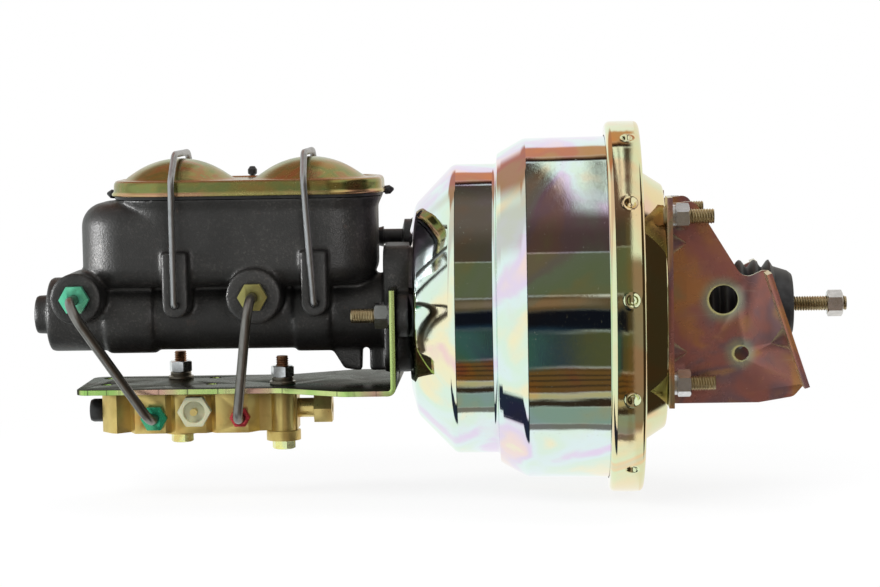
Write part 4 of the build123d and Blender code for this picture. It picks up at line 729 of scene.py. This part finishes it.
def stakeShape(distance, radius, angle):
    if radius < stakes["foot"]:
        return distance, radius, angle
    radius -= stakes["crown"] * min(abs((distance - rearX - stakes["middle"]) / stakes["half"]), 1.0) ** 2
    share = 360.0 / stakes["count"]
    around = math.degrees(angle) - stakes["phase"]
    off = math.radians((around + share / 2) % share - share / 2) * stakes["rim"]
    reach = math.hypot(distance - rearX + stakes["depth"], off)
    rim = math.exp(-((reach - stakes["mouth"] * 1.1) / 0.8) ** 2) * stakes["lip"]
    if reach < stakes["mouth"]:
        dip = min((stakes["mouth"] - reach) / (stakes["mouth"] - stakes["floor"]), 1.0)
        dip = dip * dip * (3 - 2 * dip)
        return distance, radius - stakes["sink"] * dip + rim, angle
    return distance, radius + rim, angle


boosterRear = lathe("boosterRear", denser(held(shellOutline(rearShell)), 111.0, 115.0, 0.7), "housing", bandZinc,
                    ("rear_shell",), 720, stakeShape, 75.0)
print("shells made")

# Rubber boot with soft folds
boot = dict(cuff=25.7, start=15.5, end=65.0, peaks=6, crest=27.4, root=22.8, tip=79.0)
bootLine = [(rearX + 3.0, 24.1), (rearX + 3.0, boot["cuff"]), (rearX + 13.6, boot["cuff"])]
bootSteps = 84
for step in range(bootSteps + 1):
    share = step / bootSteps
    wave = 0.5 - 0.5 * math.cos(2 * math.pi * (boot["peaks"] - 0.5) * share)
    bootLine.append((
        rearX + boot["start"] + (boot["end"] - boot["start"]) * share,
        boot["root"] + (boot["crest"] - boot["root"]) * wave ** 0.8,
    ))
tail = rounded([(rearX + 65.2, 27.0, 0), (rearX + 67.5, 23.4, 0), (rearX + 76.2, 20.6, 0), (rearX + 79.0, 18.4, 0),
                (rearX + 79.0, 5.1, 0)], [1.2, 2.0, 1.6], 4)
bootLine += [(point.x, point.y) for point in tail]
bootLine += [(rearX + 77.0, 5.1), (rearX + 75.0, 17.0), (rearX + 60, 19.0), (rearX + 16, 20.6), (rearX + 13.6, 24.1)]
bellows = lathe("bellows", bootLine, "housing", bootRubber, ("boot",), 96, sharp=50.0)
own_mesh(bellows)

# Bails and brake tubes: round wire along the same runs as the solids
bailTop = 96.8 + 2.15
lugZ = 8.0


def bailPath(pivotX, height, lean):
    runs = [(-36.5, 0), (-50, 0), (-50, height - 16), (-30, height)]
    runs += [(-across, up) for across, up in reversed(runs)]
    s, c = math.sin(math.radians(lean)), math.cos(math.radians(lean))
    spots = [(pivotX - up * s, across, lugZ + up * c) for across, up in runs]
    return rounded(spots, [3.2, 9.0, 12.0, 12.0, 9.0, 3.2], 10)


frontBail = bar("frontBail", bailPath(noseX - 141.8, bailTop - lugZ, 0), 2.0, "front_bail", bailSteel, ("front_bail",))
rearBail = bar("rearBail", bailPath(noseX - 57.2, (bailTop - lugZ) / math.cos(math.radians(3.6)), 3.6), 2.0,
               "rear_bail", bailSteel, ("rear_bail",))
tubes = dict(
    frontTube=dict(port=202.2, out=80.0, valve=158.6, node="front_tube"),
    rearTube=dict(port=94.1, out=76.0, valve=105.6, node="rear_tube"),
)
for tubeName, tube in tubes.items():
    runs = [
        (noseX - tube["port"], -37.5, 12.8), (noseX - tube["port"], -tube["out"], 12.8),
        (noseX - tube["valve"], -46.0, -62.5), (noseX - tube["valve"], -17.0, -62.5),
    ]
    bar(tubeName, rounded(runs, 12.0, 12), 3.0, "housing", tubeSteel, (tube["node"],), 28)
print("wires and tubes made")

# Fasteners with real threads and chamfered hexagons, each drawn along +X from its own spot
stud = dict(y=51.0, z=50.0, middle=7.5, radius=4.7, flats=14.3, height=8.4)
bolt = dict(radius=3.95, flats=12.7, low=-78.4, spots=[(148.7, 24.0), (80.5, -14.0)])
rearSpots = [((rearX, y, stud["middle"] + z), (1, 0, 0), 0.35 + 0.2 * z)
             for y in (-stud["y"], stud["y"]) for z in (-stud["z"], stud["z"])]
masterSpots = [((noseX, y, 0), (-1, 0, 0), 0.12) for y in (-43.0, 43.0)]
valveSpots = [((noseX - ahead, y, bolt["low"]), (0, 0, 1), 0.6) for ahead, y in bolt["spots"]]
nutSpots = [((x + 5.4, y, z), axis, turn) for (x, y, z), axis, turn in rearSpots]
nutSpots += [((x - 12.8, y, z), axis, turn) for (x, y, z), axis, turn in masterSpots]


def threaded(start, radius, pitch, length, *necks):
    part = Gather()
    part.thread((start, 0, 0), (1, 0, 0), radius, pitch, length)
    for low, steps in necks:
        part.turned((low, 0, 0), (1, 0, 0), steps)
    return part


def hexed(start, flats, height, bore, way=1):
    part = Gather()
    part.hexagon((start, 0, 0), (way, 0, 0), flats, height, bore)
    return part


def ringed(start, outline):
    part = Gather()
    part.turned((start, 0, 0), (1, 0, 0), outline)
    return part


studR = stud["radius"]
setOut("studNuts", hexed(0, stud["flats"], stud["height"], 4.75), nutSpots, nutSteel, ("stud_nuts",))
rearNeck = (-1.8, [(0, 0.001), (0, 5.4), (2, 5.4), (2, studR), (7.2, studR), (7.2, 0.001)])
setOut("rearStuds", threaded(5.4, studR, studPitch, 23.1, rearNeck), rearSpots, studSteel, ("rear_studs",))
setOut("rearWashers", ringed(3.2, [(0, 4.8), (0, 6.9), (0.3, 7.1), (1.9, 7.1), (2.2, 6.9), (2.2, 4.8), (0, 4.8)]),
       rearSpots, nutSteel, ("rear_washers",))
masterNeck = (-3.7, [(0, 0.001), (0, 7.1), (1.9, 7.1), (1.9, studR), (15.8, studR), (15.8, 0.001)])
setOut("masterStuds", threaded(12.0, studR, studPitch, 23.4, masterNeck), masterSpots, studSteel, ("master_studs",))
headed = hexed(0, bolt["flats"], 5.6, 0.0, -1)
headed.turned((0, 0, 0), (1, 0, 0), [(0, 0.001), (0, bolt["radius"]), (38.9, bolt["radius"]), (38.9, 0.001)])
setOut("valveBolts", headed, valveSpots, boltZinc, ("valve_bolts",))
setOut("valveBoltThreads", threaded(38.8, bolt["radius"], boltPitch, 13.1), valveSpots, copperThread)
setOut("valveNuts", hexed(38.9, bolt["flats"], 7.0, 4.0), valveSpots, nutSteel, ("valve_nuts",))
washerLine = [(0, 4.1), (0, 7.8), (0.3, 8.0), (1.5, 8.0), (1.8, 7.8), (1.8, 6.5), (2.1, 6.6), (4.0, 6.6), (4.3, 6.4),
              (4.3, 4.1), (0, 4.1)]
setOut("valveWashers", ringed(34.6, washerLine), valveSpots, washerSteel, ("valve_washers",))
rod = Gather()
rod.thread((rearX + 72.0, 0, 0), (1, 0, 0), 4.7, studPitch, 40.6)
rod.turned((rearX - 49.7, 0, 0), (1, 0, 0), [(0, 0.001), (0, 4.7), (121.8, 4.7), (121.8, 0.001)])
rod.build("pushrodBar", "pushrod", studSteel, ("pushrod",))
rodNut = Gather()
rodNut.hexagon((rearX + 100.6, 0, 0), (1, 0, 0), stud["flats"], 9.6, 4.8, 0.25)
rodNut.build("pushrodNut", "pushrod", nutSteel, ("pushrod_nut",))
print("fasteners made")

# Lid: pressed skirt with a bead, flat ledge and two domes
lid = dict(rear=16.4, front=182.4, half=43.5, corner=32.0, base=73.6, height=9.6, domes=(143.3, 62.0), domeR=34.0,
           rise=13.6, rings=84, around=288)


def roundedRectangle(halfX, halfY, corner, count):
    spots = []
    straightX, straightY = halfX - corner, halfY - corner
    arc = math.pi * corner / 2
    total = 4 * (straightX + straightY) + 4 * arc
    for index in range(count):
        run = total * index / count
        x, y, heading = halfX, 0.0, math.pi / 2
        legs = [straightY, arc, 2 * straightX, arc, 2 * straightY, arc, 2 * straightX, arc, straightY]
        for number, leg in enumerate(legs):
            part = min(run, leg)
            if number % 2 == 0:
                x, y = x + math.cos(heading) * part, y + math.sin(heading) * part
            else:
                cx, cy = x - math.sin(heading) * corner, y + math.cos(heading) * corner
                turn = part / corner
                x = cx + math.sin(heading + turn) * corner
                y = cy - math.cos(heading + turn) * corner
                heading += turn
            run -= part
            if run <= 1e-9:
                break
        spots.append((x, y))
    return spots


lidX = noseX - (lid["rear"] + lid["front"]) / 2
halfLid = (lid["front"] - lid["rear"]) / 2
ballR = (lid["domeR"] ** 2 + lid["rise"] ** 2) / (2 * lid["rise"])


def lidHeight(x, y):
    ledge = lid["height"] - 0.9
    best = 0.0
    for dome in lid["domes"]:
        away = math.hypot(x - (noseX - dome), y)
        if away < lid["domeR"] + 4:
            ball = math.sqrt(max(ballR ** 2 - away ** 2, 0)) - (ballR - lid["rise"])
            blend = 1.6
            best = max(best, blend * math.log(1 + math.exp(min(ball / blend, 40))) if ball < 8 else ball)
    return ledge + best * (1 - 0.9 * math.exp(-best * 2.0))


skirt = [(-0.1, 0.0), (0.7, 0.3), (1.0, 1.0), (0.8, 1.7), (0.1, 2.3), (-0.3, 3.2), (-0.4, 6.4), (-0.7, 7.8),
         (-1.5, 9.0), (-2.6, 9.5), (-3.8, 9.6), (-4.9, 9.4), (-5.8, 8.9), (-6.8, 8.7)]
lidPoints = []
for out, up in skirt:
    for x, y in roundedRectangle(halfLid + out, lid["half"] + out, lid["corner"] + out, lid["around"]):
        lidPoints.append(((lidX + x) * mm, y * mm, (lid["base"] + up) * mm))
inner = roundedRectangle(halfLid - 6.8, lid["half"] - 6.8, lid["corner"] - 6.8, lid["around"])
for ring in range(1, lid["rings"] + 1):
    share = 1 - ring / lid["rings"]
    for x, y in inner:
        px, py = lidX + x * share, y * share
        lidPoints.append((px * mm, py * mm, (lid["base"] + lidHeight(px, py)) * mm))
lidFaces = gridFaces(len(skirt) + lid["rings"], lid["around"])
finish(meshOf("lidPressing", lidPoints, lidFaces), "lidPressing", "housing", lidZinc, ("reservoir_lid",), 50.0)

# Gasket: a thin edge below the lid, with a black knob at each end and one standing up behind
gasket = dict(low=72.0, wall=1.6, rear=17.4, front=181.4, half=42.6, corner=31.0, knobR=2.7, endZ=75.0, backY=47.4,
              backZ=84.9)
sheet = Gather()
plan = roundedRectangle((gasket["front"] - gasket["rear"]) / 2, gasket["half"], gasket["corner"], 160)
sheetRows = [(0.86, 0.0), (1.0, 0.0), (1.0, gasket["wall"]), (0.86, gasket["wall"]), (0.86, 0.0)]
sheet.add([(lidX + x * share, y * share, gasket["low"] + rise) for share, rise in sheetRows for x, y in plan],
          gridFaces(len(sheetRows), len(plan)))
knobR = gasket["knobR"]
knobLine = [(0, 0.001), (0, 1.3), (2.4, 1.4), (3.3, knobR), (6.2, knobR + 0.1), (8.6, 0.8), (8.8, 0.001)]
for end, way in ((gasket["front"], -1), (gasket["rear"], 1)):
    sheet.turned((noseX - end - 1.5 * way, 0, gasket["endZ"] - 1.2), (way, 0, 0.12), knobLine, 12)
sheet.turned((lidX - 3.5, gasket["half"] - 1.0, gasket["low"] + 0.8), (0, 1, 0.25),
             [(0, 0.001), (0, 1.6), (6.0, 1.6), (6.0, 0.001)], 12)
sheet.turned((lidX - 3.5, gasket["backY"], gasket["low"] + 1.6), (0, 0, 1),
             [(0, 0.001), (0, 1.7), (9.4, 1.5), (10.6, knobR + 0.2), (13.2, knobR + 0.3), (15.2, 1.6),
              (15.4, 0.001)], 12)
sheet.build("gasketSheet", "housing", capRubber, ("lid_gasket",), 28.0)

# Master cylinder: the solid is melted together a little, as a sand casting is
casting = nodes["master_cylinder"].data.copy()
castingPiece = finish(casting, "ironCasting", "housing", ironCast, ("master_cylinder",))
melt = castingPiece.modifiers.new("melt", "REMESH")
melt.mode = "VOXEL"
melt.voxel_size = 1.35 * mm
soften = castingPiece.modifiers.new("soften", "SMOOTH")
soften.factor = 0.5
soften.iterations = 4
softened = baked(castingPiece)
castingPiece.modifiers.clear()
castingPiece.data = softened
softened.shade_smooth()
softened.materials.clear()
softened.materials.append(ironCast)
print("casting faces", len(softened.polygons))

# Solids that only need eased edges
for pieceName, nodeName, skin, bevel in (
    ("bracketNear", "bracket_half_near", bracketZinc, 0.5), ("bracketFar", "bracket_half_far", bracketZinc, 0.5),
    ("valvePlate", "valve_bracket", plateZinc, 0.4), ("valveForging", "valve_body", brassBody, 0.3),
    ("endFitting", "valve_end_fitting", brassTurned, 0.4), ("switchHex", "pressure_switch", ivoryNylon, 0.4),
    ("capBoot", "valve_cap", capRubber, 0.5),
):
    dressed(pieceName, nodeName, "housing", skin, bevel)
for nodeName, pieceName, skin in (
    ("green_tube_nuts", "greenNuts", greenNut), ("brass_tube_nut", "brassNut", oldBrass),
    ("red_tube_nut", "redNutPiece", redNut),
):
    nutPiece = dressed(pieceName, nodeName, "housing", skin, 0.4)
    if nodeName == "green_tube_nuts":
        nutPiece.data.materials.append(mintNut)
        for face in nutPiece.data.polygons:
            if face.center.z > -20 * mm:
                face.material_index = 1

# Coil springs, which shorten as the pedal goes down, listed with fixed end and travel; here each coil is only dressed
# and given its own mesh
springs = dict(return_spring=(-222.2, 32.0), primary_spring=(-331.0, 32.0), secondary_spring=(-440.0, 16.0))
for nodeName, (fixedX, travel) in springs.items():
    coil = dressed(nodeName + "Coil", nodeName, "housing", springSteel, 0)
    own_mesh(coil)

# Every other solid stays as it is, in its own finish
plain = (
    (bandZinc, ("divider", "rear_diaphragm_plate", "front_diaphragm_plate")),
    (greyRubber, ("divider_seal", "neck_seal", "nose_seal", "reaction_disc", "poppet_valve", "primary_cups",
                  "secondary_cups")),
    (bootRubber, ("rear_diaphragm", "front_diaphragm", "check_valve_grommet")), (hubMoulding, ("power_piston",)),
    (nutSteel, ("output_rod", "output_rod_retainer", "valve_plunger", "master_washers", "piston_stop_ring",
                "metering_stem")),
    (springSteel, ("input_spring", "metering_spring")), (filterFelt, ("air_filter",)),
    (blackNylon, ("check_valve",)), (brassTurned, ("switch_terminal",)),
    (aluminiumSkin, ("primary_piston", "secondary_piston", "shuttle_piston")),
)
for skin, nodeNames in plain:
    for nodeName in nodeNames:
        for slot in nodes[nodeName].material_slots:
            slot.material = skin
print("solids dressed")

# Camera at the photograph's place
view = dict(sensor=36.0, focal=2600.0, width=880.0, yaw=2.16, pitch=4.60, roll=1.02, distance=1612.0,
            target=(-206.86, 0.0, 9.43))
cameraData = bpy.data.cameras.new("camera")
cameraData.sensor_width = view["sensor"]
cameraData.lens = view["sensor"] * view["focal"] / view["width"]
cameraData.clip_end = 20.0
camera = show(bpy.data.objects.new("camera", cameraData))
yaw, pitch, roll = (math.radians(view[turn]) for turn in ("yaw", "pitch", "roll"))
right = Vector((math.cos(yaw), math.sin(yaw), 0))
back = Vector((math.sin(yaw) * math.cos(pitch), -math.cos(yaw) * math.cos(pitch), math.sin(pitch)))
up = back.cross(right)
turnedRight = right * math.cos(roll) - up * math.sin(roll)
turnedUp = right * math.sin(roll) + up * math.cos(roll)
spot = Vector(view["target"]) * mm + back * view["distance"] * mm
rotation = Matrix((turnedRight, turnedUp, back)).transposed().to_4x4()
camera.matrix_world = Matrix.Translation(spot) @ rotation
bpy.context.scene.camera = camera

# Studio: white all round, with the room in front that polished metal mirrors
world = bpy.data.worlds.new("studio")
bpy.context.scene.world = world
world.use_nodes = True
sky = Skin.__new__(Skin)
sky.tree = world.node_tree
for node in list(sky.tree.nodes):
    sky.tree.nodes.remove(node)
direction = sky.node("ShaderNodeTexCoord", "Generated")
dx, dy, dz = sky.parts(direction)
fine = sky.node("ShaderNodeMapping", 0, {"Vector": direction, "Scale": (60.0, 1.5, 1.5)})
ragged = sky.node("ShaderNodeTexNoise", 0, {"Vector": fine, "Scale": 1.6, "Detail": 3.0}) - 0.5
broad = sky.node("ShaderNodeTexNoise", 0, {"Vector": direction, "Scale": 2.6, "Detail": 3.0}) - 0.5
# Degrees from the camera's side of the horizon: 0 straight at the viewer, 90 overhead, past that behind
lift = dz.math("ARCTAN2", dy * -1.0) * (180 / math.pi)
rough = lift + ragged * 7.0 + broad * 8.0
# What stands in the room: name, low and high edge, softness, colour
room = dict(
    ceiling=(41, 119, 0.8, (0.075, 0.055, 0.042)), warmCeiling=(64, 104, 12.0, (0.15, 0.105, 0.095)),
    beam=(119, 126, 1.5, (0.030, 0.014, 0.010)), lintel=(125, 143, 3.0, (0.62, 0.30, 0.15)),
    wall=(12.5, 41, 0.8, (0.12, 0.125, 0.072)), shelf=(1.5, 12.5, 1.5, (0.10, 0.070, 0.042)),
    dark=(-12, 2.5, 1.2, (0.006, 0.0065, 0.011)), bench=(-34, -12, 1.5, (0.088, 0.082, 0.036)),
    boards=(-56, -34, 1.5, (0.15, 0.070, 0.022)), edge=(-60, -56, 0.7, (0.50, 0.40, 0.22)),
    gap=(-65, -60, 0.7, (0.035, 0.022, 0.015)), skirting=(-81, -65, 0.8, (0.26, 0.33, 0.30)),
    rail=(-87, -81, 0.8, (0.20, 0.18, 0.17)),
)
seen = sky.mix(0.0, (0.97, 0.98, 0.98), (1.0, 1.0, 1.0))
for low, high, soft, colour in room.values():
    edges = lift if soft < 1.0 and low > 0 else rough
    seen = sky.mix(edges.between(low, high, soft), seen, colour)
stripes = (rough * 1.35).math("SINE").smooth(0.1, 0.8) * rough.between(-54, -36, 2.0)
seen = sky.mix(stripes * 0.8, seen, (0.040, 0.026, 0.014))
navy = rough.between(-34, -9, 2.0) * (1.0 - (dx + ragged * 0.012).smooth(-0.012, -0.004))
seen = sky.mix(navy * 0.8, seen, (0.016, 0.034, 0.060))
teal = rough.between(-36, -13, 3.0) * (1.0 - dx.smooth(-0.024, -0.018))
seen = sky.mix(teal * 0.9, seen, (0.045, 0.105, 0.085))
streakOf = rough.between(5, 10, 1.5) * dx.between(-0.035, 0.0, 0.006)
seen = sky.mix(streakOf * 0.8, seen, (0.22, 0.15, 0.10))
# The bright window: its lower edge drops away to the right
window = lift + (dx + ragged * 0.004 + 0.0095) * 4900.0
pane = window.smooth(105, 113) * lift.smooth(64, 76) * (1.0 - lift.smooth(119, 121))
notch = 1.0 - (dx - (lift - 68.0) * 0.00015).between(0.0020, 0.0068, 0.0016)
seen = sky.mix(pane * notch * (1.0 - dx.smooth(0.028, 0.034)), seen, (0.98, 1.0, 0.98))
# Left and right of the object: bright walls with a dark frame at each side of the opening
leftBright = 1.0 - dx.smooth(-0.060, -0.046)
leftWall = sky.mix(lift.between(100, 148, 6.0) * dx.smooth(-0.68, -0.55), (0.96, 1.0, 0.97), (0.50, 0.25, 0.16))
leftWall = sky.mix(lift.between(60, 102, 9.0) * 0.6, leftWall, (0.62, 0.46, 0.46))
leftWall = sky.mix(rough.between(-99, -77, 2.0) * dx.smooth(-0.84, -0.78), leftWall, (0.020, 0.026, 0.045))
seen = sky.mix(leftBright, seen, leftWall)
frameLeft = dx.between(-0.12, -0.048, 0.010) * lift.between(-88, 112, 3.0)
seen = sky.mix(frameLeft, seen, (0.030, 0.032, 0.030))
rightWall = sky.mix(lift.between(-78, 34, 4.0), (0.92, 0.88, 0.80), (0.30, 0.225, 0.17))
rightWall = sky.mix(lift.between(-124, 117, 3.0) * dx.smooth(0.46, 0.56), rightWall, (0.040, 0.026, 0.014))
seen = sky.mix(dx.smooth(0.052, 0.070), seen, rightWall)
bandGold = dx.between(0.026, 0.052, 0.003) * lift.between(-88, 60, 6.0)
seen = sky.mix(bandGold * 0.35, seen, (0.20, 0.13, 0.045))
path = sky.tree.nodes.new("ShaderNodeLightPath")
glossy = Field(sky.tree, path.outputs["Is Glossy Ray"])
cameraRay = Field(sky.tree, path.outputs["Is Camera Ray"])
plainLight = sky.mix(glossy, (0.60, 0.61, 0.63), seen)
shown = sky.mix(cameraRay, plainLight, (1.0, 1.0, 1.0))
background = sky.tree.nodes.new("ShaderNodeBackground")
sky.tree.links.new(shown.socket, background.inputs["Color"])
output = sky.tree.nodes.new("ShaderNodeOutputWorld")
sky.tree.links.new(background.outputs[0], output.inputs[0])


def softLight(name, place, aim, size, power):
    data = bpy.data.lights.new(name, "AREA")
    data.shape = "RECTANGLE"
    data.size, data.size_y = size
    data.energy = power
    lamp = show(bpy.data.objects.new(name, data))
    lamp.visible_glossy = False
    lamp.location = Vector(place)
    lamp.rotation_euler = (Vector(place) - Vector(aim)).to_track_quat("Z", "Y").to_euler()
    return lamp


centre = (-0.2, 0, 0)
softLight("keyLight", (-1.0, -1.3, 1.5), centre, (1.2, 0.9), 26.0)
softLight("fillLight", (1.1, -1.2, 0.7), centre, (1.0, 1.0), 9.0)
softLight("topLight", (-0.2, 0.4, 1.7), centre, (1.6, 0.8), 14.0)

# Two soft panels that only the casting takes, for the sheen at its rounded corners
castGroup = bpy.data.collections.new("castGroup")
castGroup.objects.link(castingPiece)
for lampName, place, size, power in (
    ("castLeft", (-1.38, -0.34, 0.06), (0.34, 0.34), 22.0),
    ("castRight", (0.22, -1.36, 0.10), (0.30, 0.42), 6.0),
):
    panel = softLight(lampName, place, (-0.33, -0.03, 0.045), size, power)
    panel.visible_glossy = True
    panel.visible_diffuse = False
    panel.light_linking.receiver_collection = castGroup

floorMesh = bpy.data.meshes.new("floor")
floorZ = -0.1146
floorMesh.from_pydata([(-6, -3, floorZ), (6, -3, floorZ), (6, 9, floorZ), (-6, 9, floorZ)], [], [(0, 1, 2, 3)])
floor = show(bpy.data.objects.new("floor", floorMesh))
paper = Skin("paper")
paper.set(Base_Color=(0.93, 0.93, 0.93), Roughness=0.9)
rays = paper.tree.nodes.new("ShaderNodeLightPath")
glow = paper.tree.nodes.new("ShaderNodeEmission")
blend = paper.tree.nodes.new("ShaderNodeMixShader")
along, deep, _ = paper.parts(paper.place)
along = along + 0.2
farOff = (along * along * 0.4 + deep * deep).math("SQRT").smooth(0.12, 0.42)
lit = Field(paper.tree, rays.outputs["Is Camera Ray"]) * (farOff * 0.15 + 0.85)
paper.tree.links.new(lit.socket, blend.inputs[0])
paper.tree.links.new(paper.shader.outputs[0], blend.inputs[1])
paper.tree.links.new(glow.outputs[0], blend.inputs[2])
paper.tree.links.new(blend.outputs[0], paper.tree.nodes["Material Output"].inputs[0])
floorMesh.materials.append(paper.material)
floor.visible_glossy = False

bpy.context.scene.view_settings.view_transform = "Standard"
print("studio made")
